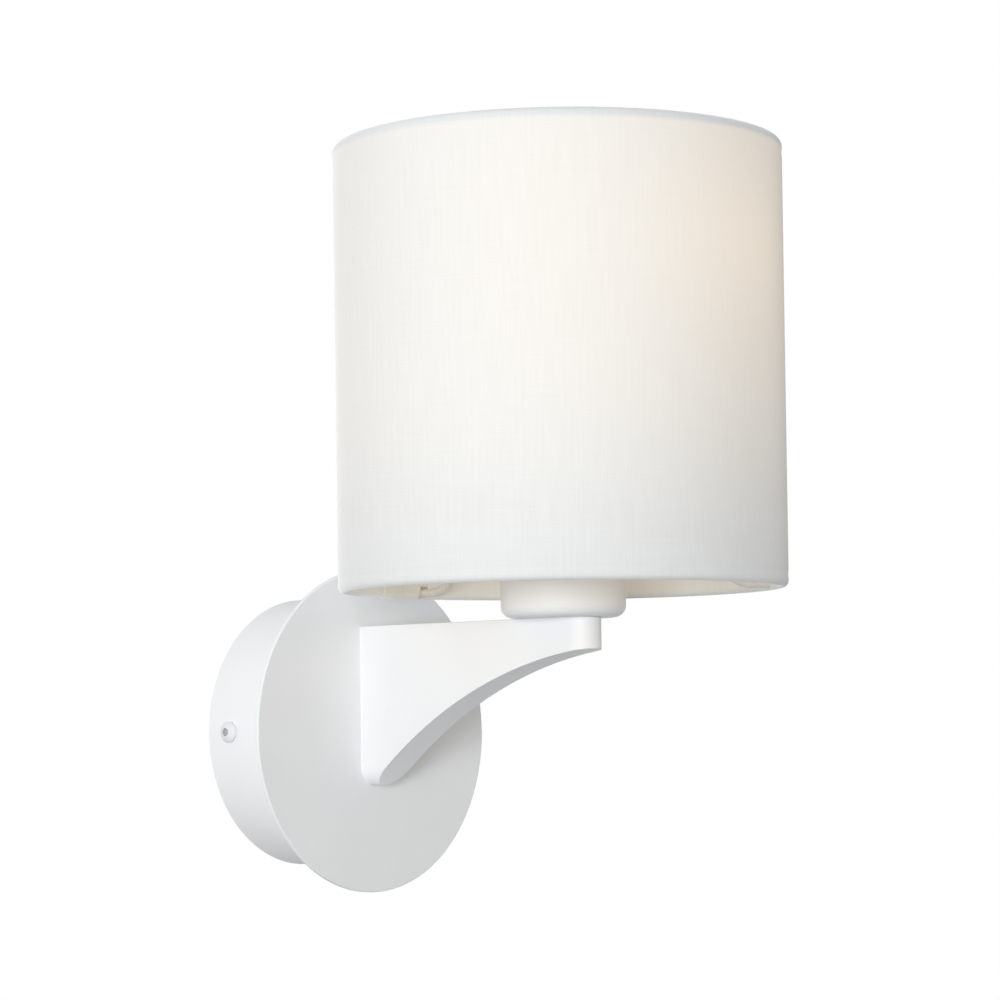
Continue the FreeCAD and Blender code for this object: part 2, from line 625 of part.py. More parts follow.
def make_terminal_block():
    block = new_body("terminal_block")
    outline = new_sketch(block, "outline", "XZ_Plane", "Size.bracket_thickness")
    left, right = "-Size.block_width / 2", "Size.block_width / 2"
    low, high = "-Size.block_length / 2", "Size.block_length / 2"
    draw_outline(outline, [(left, low), (right, low), (right, high), (left, high)])
    pad(block, outline, "Size.block_depth")
    place(block, "-Size.block_offset")

    bores = new_sketch(block, "bores", "YZ_Plane")
    for height in pole_heights:
        draw_circle(bores, f"-{pole_depth}", height,
                    "Size.pole_tube_diameter / 2 + Size.thread_clearance")
    pocket(block, bores)
    shafts = new_sketch(block, "screw_shafts", "XZ_Plane", block_face)
    for height in pole_heights:
        for side in ("-", ""):
            draw_circle(shafts, f"{side}Size.pole_screw_spacing / 2", height,
                        "Size.pole_screw_diameter / 2 + Size.screw_clearance")
    pocket(block, shafts, "Size.block_depth / 2")
    fixing = new_sketch(block, "fixing", "XZ_Plane")
    draw_circle(fixing, "0", "Size.pole_pitch / 2", f"{small_screw_radius} + Size.thread_clearance")
    pocket(block, fixing)

    half = "(Size.block_width / 2 - Size.pole_tube_inset)"
    tubes = []
    for number, height in enumerate(pole_heights):
        piece = new_body(f"terminal_tube_{number}", keep=False)
        turned(piece, [(f"-{half}", "Size.pole_tube_bore / 2"), (half, "Size.pole_tube_bore / 2"),
                       (half, "Size.pole_tube_diameter / 2"),
                       (f"-{half}", "Size.pole_tube_diameter / 2")], "XY_Plane", "H_Axis")
        drilled = new_sketch(piece, "drilled", "XZ_Plane")
        for side in ("-", ""):
            draw_circle(drilled, f"{side}Size.pole_screw_spacing / 2", "0", "Size.pole_screw_diameter / 2")
        pocket(piece, drilled, "Size.pole_tube_diameter", along_normal=True)
        place(piece, "-Size.block_offset", f"-{pole_depth}", height)
        tubes.append(piece)
    group("terminal_tubes", tubes)

    reach = "(Size.block_depth / 2 - Size.pole_tube_bore / 2)"
    screws = []
    for number, height in enumerate(pole_heights):
        for side in ("-", "+"):
            piece = new_body(f"terminal_screw_{number}{'a' if side == '-' else 'b'}", keep=False)
            tube(piece, "0", "Size.pole_screw_diameter / 2 - Size.thread_clearance", reach)
            slot = new_sketch(piece, "slot", "XY_Plane", reach)
            end, half_slot = "Size.pole_screw_diameter", "Size.pole_screw_slot / 2"
            draw_outline(slot, [(f"-{end}", f"-{half_slot}"), (end, f"-{half_slot}"),
                                (end, half_slot), (f"-{end}", half_slot)])
            pocket(piece, slot, "Size.pole_screw_slot_depth")
            place(piece, f"-Size.block_offset {side} Size.pole_screw_spacing / 2",
                  f"-{pole_depth} - Size.pole_tube_bore / 2", height, Vector(1, 0, 0), 90)
            screws.append(piece)
    group("terminal_screws", screws)

    fixing_screw = screw("terminal_block_screw", "Size.block_screw_length", small_screw_radius,
                         "Size.small_head_diameter / 2", "Size.small_head_height", domed=False)
    nodes["terminal_block_screw"] = fixing_screw
    place(fixing_screw, "-Size.block_offset", f"-{block_face}", "Size.pole_pitch / 2",
          Vector(1, 0, 0), 90)


# Wall cup and front disc, both spun about the wall's normal

def cut_front_holes(body, screw_hole, duct_hole):
    holes = new_sketch(body, "holes", "XZ_Plane")
    draw_circle(holes, "0", upper_screw_height, screw_hole)
    draw_circle(holes, "0", lower_screw_height, screw_hole)
    draw_circle(holes, "0", duct_height, duct_hole)
    pocket(body, holes)


def make_canopy():
    body = new_body("canopy")
    inside = f"({canopy_radius} - Size.canopy_wall)"
    turned(body, [("0", canopy_radius), ("-Size.canopy_depth", canopy_radius),
                  ("-Size.canopy_depth", "0"), (f"-{plate_inside}", "0"),
                  (f"-{plate_inside}", inside), ("0", inside)], "YZ_Plane", "H_Axis")
    depth, radius = size("Size.canopy_depth"), size(canopy_radius)
    round_edges(body, "Size.canopy_edge_round",
                lambda edge: abs(edge.BoundBox.YMin + depth) < same_place
                and edge.BoundBox.YLength < same_place
                and abs(edge.BoundBox.ZMax - radius) < 10 * same_place)
    cut_front_holes(body, plain_hole, "Size.grommet_neck / 2 + Size.thread_clearance")
    side_holes = new_sketch(body, "side_holes", "YZ_Plane")
    draw_circle(side_holes, "-Size.side_screw_from_wall", "0", plain_hole)
    pocket(body, side_holes)


def make_front_disc():
    body = new_body("front_disc")
    rim = "Size.disc_diameter / 2"
    turned(body, [("-Size.canopy_depth", "0"), ("-Size.canopy_depth", rim),
                  (f"-{disc_front}", rim), (f"-{disc_front}", "0")], "YZ_Plane", "H_Axis")
    radius = size(rim)
    round_edges(body, "Size.disc_edge_round",
                lambda edge: edge.BoundBox.YLength < same_place
                and abs(edge.BoundBox.ZMax - radius) < 10 * same_place)
    cut_front_holes(body, plain_hole, "Size.grommet_flange / 2 + Size.screw_clearance")


def make_side_screws():
    pieces = []
    for number, (side, turn) in enumerate((("-", -90), ("", 90))):
        piece = screw(f"canopy_side_screw_{number}", "Size.side_screw_length")
        place(piece, f"{side}{canopy_radius}", "-Size.side_screw_from_wall", "0", Vector(0, 1, 0), turn)
        pieces.append(piece)
    group("canopy_side_screws", pieces)


# Bracket arm: flat top, hollow underside, half-round tip and half-round foot

def make_arm():
    body = new_body("arm")
    half = "Size.arm_width / 2"
    tip = "(Size.shade_reach + Size.arm_overhang)"
    root_bottom = "(Size.arm_top - Size.arm_root_height)"
    plan = new_sketch(body, "plan", "XY_Plane", "Size.arm_top")
    tip_centre = f"-({tip} - {half})"
    draw_outline(plan, [(f"-{half}", f"-{disc_front}"),
                        (f"-{half}", tip_centre, ("centre y", tip_centre, 1)),
                        (half, tip_centre), (half, f"-{disc_front}")])
    pad(body, plan, "Size.arm_root_height", backwards=True)

    clear = half
    below = f"({root_bottom} - {clear})"
    hollow = new_sketch(body, "underside", "YZ_Plane")
    tip_bottom = "Size.arm_top - Size.arm_tip_height"
    draw_outline(hollow, [(f"-{disc_front}", root_bottom, ("radius", "Size.arm_curve_radius")),
                          (f"-{tip}", tip_bottom), (f"-{tip} - {clear}", tip_bottom),
                          (f"-{tip} - {clear}", below), (f"-{disc_front}", below)])
    pocket(body, hollow)

    foot = new_sketch(body, "foot", "XZ_Plane")
    foot_centre = f"(Size.arm_top - Size.arm_foot_height + {half})"
    draw_outline(foot, [(f"-{half}", foot_centre, ("centre y", foot_centre, 1)), (half, foot_centre),
                        (f"{half} + {clear}", foot_centre), (f"{half} + {clear}", below),
                        (f"-{half} - {clear}", below), (f"-{half} - {clear}", foot_centre)])
    pocket(body, foot)

    top, back, hole = size("Size.arm_top"), size(disc_front), size("Size.arm_width") / 2
    round_edges(body, "Size.arm_edge_round",
                lambda edge: level(edge, top) and edge.BoundBox.YMin < -back - hole)

    duct = new_sketch(body, "duct", "XZ_Plane", disc_front)
    draw_circle(duct, "0", duct_height, "Size.duct_diameter / 2")
    pocket(body, duct, f"Size.shade_reach - {disc_front} + Size.nipple_bore / 2", along_normal=True)
    nipple_hole = new_sketch(body, "nipple_hole", "XY_Plane", "Size.arm_top")
    draw_circle(nipple_hole, "0", "-Size.shade_reach", "Size.nipple_diameter / 2")
    pocket(body, nipple_hole, "Size.nipple_hole_depth")
    drop_hole = new_sketch(body, "drop_hole", "XY_Plane", "Size.arm_top")
    draw_circle(drop_hole, "0", "-Size.shade_reach", "Size.nipple_bore / 2 + Size.screw_clearance")
    pocket(body, drop_hole, "Size.duct_drop + Size.duct_diameter / 6")
    tapped = new_sketch(body, "tapped_holes", "XZ_Plane", disc_front)
    draw_circle(tapped, "0", upper_screw_height, tapped_hole)
    draw_circle(tapped, "0", lower_screw_height, tapped_hole)
    pocket(body, tapped, "Size.arm_screw_grip", along_normal=True)


def make_arm_fixings():
    """Two screws from inside the wall cup, the upper one through the earth tag."""
    screws = []
    washers = []
    for number, (height, packing) in enumerate(((upper_screw_height, "Size.tag_thickness"),
                                                (lower_screw_height, "0"))):
        washer = new_body(f"arm_washer_{number}", keep=False)
        tube(washer, plain_hole, "Size.washer_diameter / 2", "Size.washer_thickness")
        place(washer, "0", f"-{plate_inside} + {packing}", height, Vector(1, 0, 0), -90)
        washers.append(washer)
        piece = screw(f"arm_screw_{number}", "Size.arm_screw_length")
        place(piece, "0", f"-{plate_inside} + {packing} + Size.washer_thickness", height,
              Vector(1, 0, 0), -90)
        screws.append(piece)
    group("arm_screws", screws)
    group("arm_screw_washers", washers)


def make_grommet():
    body = new_body("wire_grommet")
    bore, neck, flange = "Size.grommet_bore / 2", "Size.grommet_neck / 2", "Size.grommet_flange / 2"
    outer_lip = "(Size.disc_thickness - Size.layer_gap)"
    plate = "Size.canopy_wall"
    turned(body, [(bore, f"-{outer_lip}"), (flange, f"-{outer_lip}"), (flange, "0"), (neck, "0"),
                  (neck, plate), (flange, plate), (flange, f"{plate} + Size.grommet_lip"),
                  (bore, f"{plate} + Size.grommet_lip")])
    place(body, "0", "-Size.canopy_depth", duct_height, Vector(1, 0, 0), -90)


# Lampholder: nipple, cup, dome, insert, screw shell, contact and threaded skirt

def make_nipple_and_nut():
    nipple = new_body("hollow_nipple")
    tube(nipple, "Size.nipple_bore / 2", "Size.nipple_diameter / 2 - Size.thread_clearance",
         "Size.nipple_depth + Size.nipple_stand", "-Size.nipple_depth")
    on_lamp_axis(nipple, "Size.arm_top")

    washer = new_body("toothed_washer")
    tube(washer, "Size.nipple_diameter / 2 + Size.thread_clearance", "Size.tooth_washer_diameter / 2",
         "Size.tooth_washer_thickness")
    rim = "Size.tooth_washer_diameter / 2"
    notch = new_sketch(washer, "notch", "XY_Plane", "Size.tooth_washer_thickness")
    beyond = f"{rim} + Size.tooth_depth"
    draw_outline(notch, [(f"{rim} - Size.tooth_depth", "0"), (beyond, "-Size.tooth_gap"),
                         (beyond, "Size.tooth_gap")])
    cut = pocket(washer, notch, "Size.tooth_washer_thickness * 2")
    around_axis(washer, [cut], "Size.tooth_count")
    on_lamp_axis(washer, cup_floor)

    nut = new_body("nipple_lock_nut")
    outline = new_sketch(nut, "outline", "XY_Plane")
    draw_hexagon(outline, "Size.nut_flats")
    draw_circle(outline, "0", "0", "Size.nipple_diameter / 2")
    pad(nut, outline, "Size.nut_thickness")
    on_lamp_axis(nut, nut_seat)


def make_holder_cup():
    body = new_body("holder_cup")
    outer, inner = "Size.cup_diameter / 2", "(Size.cup_diameter / 2 - Size.cup_wall)"
    bore = "(Size.nipple_diameter / 2 + Size.thread_clearance)"
    turned(body, [(bore, "0"), (outer, "0"), (outer, "Size.cup_height"), (inner, "Size.cup_height"),
                  (inner, "Size.cup_wall"), (bore, "Size.cup_wall")])
    outer_radius, wall = size(outer), size("Size.cup_wall")
    round_edges(body, "Size.cup_corner_round",
                lambda edge: level(edge, 0) and edge.BoundBox.XMax > outer_radius - wall / 2)
    round_edges(body, "Size.cup_corner_round - Size.cup_wall",
                lambda edge: level(edge, wall) and edge.BoundBox.XMax > outer_radius - wall * 1.5)
    on_lamp_axis(body, "Size.arm_top")


def make_dome():
    body = new_body("holder_dome")
    bore = "(Size.nipple_diameter / 2 + Size.thread_clearance)"
    outer = "Size.dome_diameter / 2"
    boss = "Size.dome_boss_diameter / 2"
    ledge = "(Size.insert_diameter / 2 - Size.dome_ledge)"
    seat = "(Size.insert_diameter / 2 + Size.insert_play)"
    floor = "(Size.dome_boss_height + Size.dome_wall)"
    ledge_height = "(Size.dome_height - Size.insert_flange)"
    turned(body, [(bore, "0"), (boss, "0"), (boss, "Size.dome_boss_height - Size.dome_boss_shoulder"),
                  (outer, "Size.dome_boss_height + Size.dome_slope"), (outer, "Size.dome_height"),
                  (seat, "Size.dome_height"), (seat, ledge_height), (ledge, ledge_height),
                  (ledge, f"{floor} + Size.dome_inside_slope"),
                  (f"{ledge} - Size.dome_inside_slope", floor), (bore, floor)])
    on_lamp_axis(body, dome_seat)


def make_insert():
    body = new_body("holder_insert")
    neck = "(Size.shell_bore / 2 - Size.layer_gap)"
    rim = "Size.insert_diameter / 2"
    top = "Size.insert_flange + Size.insert_neck"
    turned(body, [("0", "0"), (rim, "0"), (rim, "Size.insert_flange"), (neck, "Size.insert_flange"),
                  (neck, top), ("0", top)])
    on_lamp_axis(body, insert_seat)
    lead_holes = new_sketch(body, "lead_holes", "XY_Plane")
    for side in ("-", ""):
        draw_circle(lead_holes, f"{side}Size.terminal_offset", "0", "Size.terminal_hole / 2")
    pocket(body, lead_holes, "Size.terminal_hole_depth", along_normal=True)
    screw_holes = new_sketch(body, "screw_holes", "XY_Plane")
    for side in ("-", ""):
        draw_circle(screw_holes, f"{side}Size.terminal_offset", "Size.terminal_screw_offset",
                    "Size.small_screw_diameter / 2")
    pocket(body, screw_holes, "Size.terminal_hole_depth", along_normal=True)

    pieces = []
    for number, side in enumerate(("-", "")):
        piece = screw(f"holder_terminal_screw_{number}", "Size.insert_flange", small_screw_radius,
                      "Size.small_head_diameter / 2", "Size.small_head_height", domed=False)
        place(piece, f"{side}Size.terminal_offset", "-Size.shade_reach + Size.terminal_screw_offset",
              insert_seat, Vector(1, 0, 0), 180)
        pieces.append(piece)
    group("holder_terminal_screws", pieces)


def make_shell_and_contact():
    shell = new_body("screw_shell")
    tube(shell, "Size.shell_bore / 2", "Size.shell_bore / 2 + Size.shell_wall", "Size.shell_height")
    on_lamp_axis(shell, dome_rim)

    contact = new_body("centre_contact")
    outline = new_sketch(contact, "outline", "XZ_Plane")
    strip, rise = "Size.contact_strip", "Size.contact_rise"
    foot, reach = "Size.contact_foot", "Size.contact_reach"
    crest = f"({reach} - Size.contact_slope)"
    lean = f"{strip} / 2"
    draw_outline(outline, [(f"-{foot}", "0"), (f"-{reach}", "0"), (f"-{crest}", f"{rise} - {strip}"),
                           (reach, f"{rise} - {strip}"), (reach, rise), (f"-{crest} - {lean}", rise),
                           (f"-{reach} - {lean}", strip), (f"-{foot}", strip)])
    pad(contact, outline, "Size.contact_width", both_ways=True)
    on_lamp_axis(contact, neck_top)


def make_skirt():
    body = new_body("holder_skirt")
    outer, bore, lip = "Size.skirt_diameter / 2", "Size.skirt_bore / 2", "Size.skirt_lip_bore / 2"
    top = "Size.skirt_height"
    turned(body, [(bore, "0"), (outer, "0"), (outer, top), (lip, top),
                  (lip, f"{top} - Size.skirt_lip"), (bore, f"{top} - Size.skirt_lip")])
    on_lamp_axis(body, dome_rim)


def make_collar(label, seat, flange_up):
    """A threaded shade ring: a hub, a flange towards the shade's fitter and finger hollows."""
    body = new_body(label)
    bore = "(Size.skirt_diameter / 2 + Size.collar_clearance)"
    hub, rim = "Size.collar_hub_diameter / 2", "Size.collar_diameter / 2"
    height, step = "Size.collar_height", "Size.collar_flange"
    if flange_up:
        outline = [(bore, "0"), (hub, "0"), (hub, f"{height} - {step}"), (rim, f"{height} - {step}"),
                   (rim, height), (bore, height)]
    else:
        outline = [(bore, "0"), (rim, "0"), (rim, step), (hub, step), (hub, height), (bore, height)]
    turned(body, outline)
    hollow = new_sketch(body, "hollow", "XY_Plane")
    draw_circle(hollow, f"{rim} + Size.grip_radius - Size.grip_depth", "0", "Size.grip_radius")
    cut = pocket(body, hollow)
    around_axis(body, [cut], "Size.collar_grip_count")
    on_lamp_axis(body, seat)


# Drum shade: linen on a translucent liner, two wire rings with rolled hems, and a spider

shade_bottom_radius = "((Size.shade_diameter - Size.shade_taper) / 2)"
shade_top_radius = "(Size.shade_diameter / 2)"
roll_inner = "(Size.rim_wire / 2 + Size.layer_gap)"
roll_outer = f"({roll_inner} + Size.fabric_thickness)"
low_wire = roll_outer
high_wire = f"(Size.shade_height - {roll_outer})"


def make_shade_fabric():
    """One sheet of linen, rolled over the wire at both rims and turned down inside."""
    body = new_body("shade_fabric")
    cloth, hem = "Size.fabric_thickness", "Size.hem_height"
    low, high = shade_bottom_radius, shade_top_radius
    turned(body, [
        (low, low_wire), (high, high_wire, ("centre y", high_wire, 1)),
        (f"{high} - 2 * {roll_outer}", high_wire), (f"{high} - 2 * {roll_outer}", f"{high_wire} - {hem}"),
        (f"{high} - 2 * {roll_outer} + {cloth}", f"{high_wire} - {hem}"),
        (f"{high} - 2 * {roll_outer} + {cloth}", high_wire, ("centre y", high_wire, -1)),
        (f"{high} - {cloth}", high_wire), (f"{low} - {cloth}", low_wire, ("centre y", low_wire, -1)),
        (f"{low} - 2 * {roll_outer} + {cloth}", low_wire),
        (f"{low} - 2 * {roll_outer} + {cloth}", f"{low_wire} + {hem}"),
        (f"{low} - 2 * {roll_outer}", f"{low_wire} + {hem}"),
        (f"{low} - 2 * {roll_outer}", low_wire, ("centre y", low_wire, 1))])

    # The lower hem is notched where each spider arm reaches its wire.
    notch = new_sketch(body, "notch", "XY_Plane", f"{low_wire} + {hem}")
    inner, outer = f"{low} - 2 * {roll_outer} - {cloth}", f"{low} - {roll_outer}"
    half = "(Size.spider_wire / 2 + Size.notch_clearance)"
    draw_outline(notch, [(inner, f"-{half}"), (outer, f"-{half}"), (outer, half), (inner, half)])
    cut = pocket(body, notch, f"{hem} + {half}")
    around_axis(body, [cut], spider_arm_count)
    place(body, "0", "-Size.shade_reach", "Size.shade_bottom", angle=size("Size.spider_first_angle"))


def make_shade_liner():
    body = new_body("shade_liner")
    inset = "(Size.fabric_thickness + Size.layer_gap)"
    short = "(Size.rim_wire / 2 + 2 * Size.layer_gap)"
    foot, top = f"{low_wire} + {short}", f"{high_wire} - {short}"
    turned(body, [(f"{shade_bottom_radius} - {inset} - Size.liner_thickness", foot),
                  (f"{shade_bottom_radius} - {inset}", foot), (f"{shade_top_radius} - {inset}", top),
                  (f"{shade_top_radius} - {inset} - Size.liner_thickness", top)])
    on_lamp_axis(body, "Size.shade_bottom")


def make_rim_wire(label, drum_radius, height):
    ring = doc.addObject("Part::Torus", label)
    ring.Label = label
    ring.setExpression("Radius1", f"{drum_radius} - {roll_outer}")
    ring.setExpression("Radius2", "Size.rim_wire / 2")
    on_lamp_axis(ring, f"Size.shade_bottom + {height}")
    nodes[label] = ring


def make_spider():
    ring = new_body("fitter_ring")
    tube(ring, "Size.fitter_bore / 2", "Size.fitter_diameter / 2", "Size.fitter_thickness")
    on_lamp_axis(ring, fitter_seat)

    inner_height = size(f"{fitter_seat} + Size.fitter_thickness / 2")
    outer_height = size(f"Size.shade_bottom + {low_wire}")
    start = size("Size.fitter_diameter / 2 + Size.spider_weld_gap")
    finish = size(f"{shade_bottom_radius} - {roll_outer} - Size.rim_wire / 2 - Size.spider_weld_gap")
    span = finish - start
    corners = [(start, inner_height), (start + spider_level_share * span, inner_height),
               (start + spider_drop_share * span, outer_height), (finish, outer_height)]
    centre = Vector(0, -size("Size.shade_reach"), 0)
    arms = []
    for number in range(spider_arm_count):
        turn = size("Size.spider_first_angle") + number * 360 / spider_arm_count
        spin = Rotation(Vector(0, 0, 1), turn)
        points = [centre + spin.multVec(Vector(radius, 0, height)) for radius, height in corners]
        arms.append(bent_rod("spider_arms", points, size("Size.spider_wire")))
    keep_shape("spider_arms", Part.makeCompound(arms))


# Bulb: a plastic housing with a screw cap below and an opal globe above

def make_bulb():
    tip = new_body("bulb_tip_contact")
    turned(tip, [("0", "0"), ("Size.tip_diameter / 4", "0"),
                 ("Size.tip_diameter / 2", "Size.tip_height * 0.6"),
                 ("Size.tip_diameter / 2", "Size.tip_height"), ("0", "Size.tip_height")])
    on_lamp_axis(tip, bulb_seat)

    insulator = new_body("bulb_cap_insulator")
    foot_inside = "(Size.cap_foot_diameter / 2)"
    turned(insulator, [("0", "Size.tip_height"), ("Size.tip_diameter / 2", "Size.tip_height"),
                       (foot_inside, cap_foot), ("0", cap_foot)])
    on_lamp_axis(insulator, bulb_seat)

    cap = new_body("bulb_screw_cap")
    outer, wall = "Size.cap_diameter / 2", "Size.cap_wall"
    shoulder = f"({cap_foot} + Size.cap_shoulder)"
    turned(cap, [("0", cap_foot), (foot_inside, cap_foot), (outer, shoulder),
                 (outer, cap_rim), (f"{outer} - {wall}", cap_rim),
                 (f"{outer} - {wall}", f"{shoulder} + {wall} / 2"),
                 (f"{foot_inside} - {wall}", f"{cap_foot} + {wall}"), ("0", f"{cap_foot} + {wall}")])
    on_lamp_axis(cap, bulb_seat)

    housing = new_body("bulb_housing")
    spigot = f"({outer} - {wall} - Size.cap_thread_depth)"
    spigot_foot = f"({shoulder} + 2 * {wall})"
    neck = "Size.housing_neck_diameter / 2"
    collar = f"{cap_rim} + Size.housing_collar_height"
    rim_inside = f"({globe_inner_seam_radius} - Size.layer_gap)"
    ledge = f"({globe_seam} - Size.light_board_thickness)"
    turned(housing, [("0", spigot_foot), (spigot, spigot_foot), (spigot, cap_rim), (neck, cap_rim),
                     (neck, collar, ("radius", "-Size.housing_curve_radius")),
                     (globe_seam_radius, globe_seam), (rim_inside, globe_seam),
                     (rim_inside, ledge), ("0", ledge)])
    on_lamp_axis(housing, bulb_seat)

    board = new_body("light_board")
    tube(board, "0", "Size.light_board_diameter / 2", "Size.light_board_thickness")
    on_lamp_axis(board, f"{bulb_seat} + {ledge}")

    chips = []
    half = "Size.light_chip_size / 2"
    inner, far = f"Size.light_chip_circle_radius - {half}", f"Size.light_chip_circle_radius + {half}"
    for number in range(int(size("Size.light_chip_count"))):
        chip = new_body(f"light_chip_{number}", keep=False)
        outline = new_sketch(chip, "outline", "XY_Plane")
        draw_outline(outline, [(inner, f"-{half}"), (far, f"-{half}"), (far, half), (inner, half)])
        pad(chip, outline, "Size.light_chip_height")
        place(chip, "0", "-Size.shade_reach", f"{bulb_seat} + {globe_seam}",
              angle=number * 360 / size("Size.light_chip_count"))
        chips.append(chip)
    group("light_chips", chips)

    globe = new_body("bulb_globe")
    inner_radius = "(Size.bulb_diameter / 2 - Size.globe_wall)"
    turned(globe, [(globe_inner_seam_radius, globe_seam),
                   (globe_seam_radius, globe_seam, ("centre x", "0", 1)),
                   ("0", f"{globe_middle} + Size.bulb_diameter / 2"),
                   ("0", f"{globe_middle} + {inner_radius}", ("centre x", "0", -1))])
    on_lamp_axis(globe, bulb_seat)


# Leads held inside the light

def make_lamp_leads():
    """From the terminal block through grommet, duct and nipple to the lampholder's insert."""
    axis_y = -size("Size.shade_reach")
    duct = size(duct_height)
    side = size(lead_offset)
    block_end = size("-Size.block_offset + Size.block_width / 2")
    pole_y = -size(pole_depth)
    lift_y = pole_y - size("Size.lead_lift")
    lean_y = pole_y - size("Size.lead_lean")
    pitch = size("Size.pole_pitch")
    terminal = size("Size.terminal_offset")
    parting = size("Size.arm_top + Size.nipple_stand + Size.lead_above_nipple")
    turn_up = size(f"{insert_seat} - Size.lead_below_insert")
    end_height = size(f"{insert_seat} + Size.lead_in_insert")
    line_bend = Vector(size("Size.line_lead_offset"), lift_y, size("Size.line_lead_height"))
    neutral_bend = Vector(size("Size.neutral_lead_offset"), lift_y, 0)
    routes = (
        ("line_lead", -1, pitch, size("Size.line_lead_run"), line_bend),
        ("neutral_lead", 1, -pitch, size("Size.neutral_lead_run"), neutral_bend),
    )
    for label, way, pole, run, bend in routes:
        points = [Vector(block_end - size("Size.lead_in_tube"), pole_y, pole),
                  Vector(block_end + run, pole_y, pole), bend,
                  Vector(way * side, lean_y, duct), Vector(way * side, axis_y, duct),
                  Vector(way * side, axis_y, parting), Vector(way * terminal, axis_y, turn_up),
                  Vector(way * terminal, axis_y, end_height)]
        limits = {3: 2 * size("Size.lead_bend"), 4: size("Size.lead_bend")}
        keep_shape(label, bent_rod(label, points, size("Size.lead_diameter"), limits))


def make_earth_lead():
    """From the strap's earth screw to the tag under the upper arm screw."""
    strap = -size("Size.bracket_thickness + Size.lead_diameter / 2 + Size.layer_gap")
    screw_x = size("Size.earth_screw_offset")
    start_z = size("Size.cup_washer_diameter / 2 + Size.layer_gap")
    tag_y = -size(f"{plate_inside} - Size.tag_barrel_diameter / 2")
    tag_z = size(upper_screw_height)
    tag_end = size("Size.tag_diameter / 2 + Size.tag_barrel_length")
    crown = Vector(screw_x + size("Size.earth_lead_crown_offset"), -size("Size.earth_lead_crown_depth"),
                   size("Size.earth_lead_crown"))
    fall = Vector(screw_x + size("Size.earth_lead_fall_offset"), -size("Size.earth_lead_fall_depth"),
                  size("Size.earth_lead_fall"))
    points = [Vector(screw_x, strap, start_z), Vector(screw_x, strap, size("Size.earth_lead_straight")),
              crown, fall, Vector(screw_x + size("Size.earth_lead_turn_offset"), tag_y, tag_z),
              Vector(tag_end - size("Size.earth_lead_in_tag"), tag_y, tag_z)]
    keep_shape("earth_lead", bent_rod("earth_lead", points, size("Size.lead_diameter")))


def make_earth_tag():
    """A ring under the upper arm screw with a barrel for the earth lead."""
    body = new_body("earth_tag")
    ring = new_sketch(body, "ring", "XY_Plane")
    neck = "Size.tag_barrel_diameter / 2"
    draw_circle(ring, "0", "0", "Size.tag_diameter / 2")
    draw_circle(ring, "0", "0", plain_hole)
    pad(body, ring, "Size.tag_thickness")
    tongue = new_sketch(body, "tongue", "XY_Plane")
    start, end = f"{plain_hole} + Size.tag_neck", "(Size.tag_diameter / 2 + Size.tag_neck)"
    draw_outline(tongue, [(start, f"-{neck}"), (end, f"-{neck}"), (end, neck), (start, neck)])
    pad(body, tongue, "Size.tag_thickness")
    barrel = new_sketch(body, "barrel", "YZ_Plane", f"{end} - Size.layer_gap")
    draw_circle(barrel, "0", neck, neck)
    draw_circle(barrel, "0", neck, "Size.lead_diameter / 2 + Size.thread_clearance")
    pad(body, barrel, "Size.tag_barrel_length - Size.tag_neck")
    place(body, "0", f"-{plate_inside}", upper_screw_height, Vector(1, 0, 0), -90)


make_wall_bracket()
make_earth_terminal()
make_terminal_block()
make_canopy()
make_front_disc()
make_side_screws()
make_arm()
make_arm_fixings()
make_grommet()
make_nipple_and_nut()
make_holder_cup()
make_dome()
make_insert()
make_shell_and_contact()
make_skirt()
make_collar("lower_shade_ring", lower_collar_seat, flange_up=True)
make_collar("upper_shade_ring", upper_collar_seat, flange_up=False)
make_shade_fabric()
make_shade_liner()
make_rim_wire("bottom_wire_ring", shade_bottom_radius, low_wire)
make_rim_wire("top_wire_ring", shade_top_radius, high_wire)
make_spider()
make_bulb()
make_earth_tag()
make_lamp_leads()
make_earth_lead()
doc.recompute()

# Each piece is sound before any is written.
for item in doc.Objects:
    if "Invalid" in item.State or "Error" in item.State:
        raise RuntimeError(f"{item.Name} failed: {item.State}")
for label, item in nodes.items():
    if item.Shape.isNull() or not item.Shape.isValid():
        raise RuntimeError(f"{label} has no sound shape")

for label, item in nodes.items():
    item.Shape.exportStep(f"parts/{label}.step")
    print(f"{label}: {len(item.Shape.Solids)} solid(s), {item.Shape.Volume:.0f} mm3")
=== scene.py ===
import bmesh
import bpy
import math
from mathutils import Matrix, Vector


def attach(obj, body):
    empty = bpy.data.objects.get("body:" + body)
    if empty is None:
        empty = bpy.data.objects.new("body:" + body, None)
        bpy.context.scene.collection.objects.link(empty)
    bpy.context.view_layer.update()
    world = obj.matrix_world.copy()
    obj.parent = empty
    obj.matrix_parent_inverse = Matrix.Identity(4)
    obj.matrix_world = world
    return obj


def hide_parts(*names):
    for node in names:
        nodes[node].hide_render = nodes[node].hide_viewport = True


# Fabric shade wall light. Everything is in metres in the CAD's own frame: the wall is Y = 0, the light
# stands out towards -Y and +Z is up. Piece sizes below are written in millimetres and turned by mm().

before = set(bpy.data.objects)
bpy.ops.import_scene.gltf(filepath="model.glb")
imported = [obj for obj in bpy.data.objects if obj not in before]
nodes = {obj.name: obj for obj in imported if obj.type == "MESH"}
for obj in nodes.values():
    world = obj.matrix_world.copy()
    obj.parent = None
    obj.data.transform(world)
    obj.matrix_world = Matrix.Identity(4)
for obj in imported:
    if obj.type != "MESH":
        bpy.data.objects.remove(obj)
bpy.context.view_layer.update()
fullTurn = 2 * math.pi


def mm(*values):
    scaled = tuple(value / 1000 for value in values)
    return scaled[0] if len(scaled) == 1 else scaled


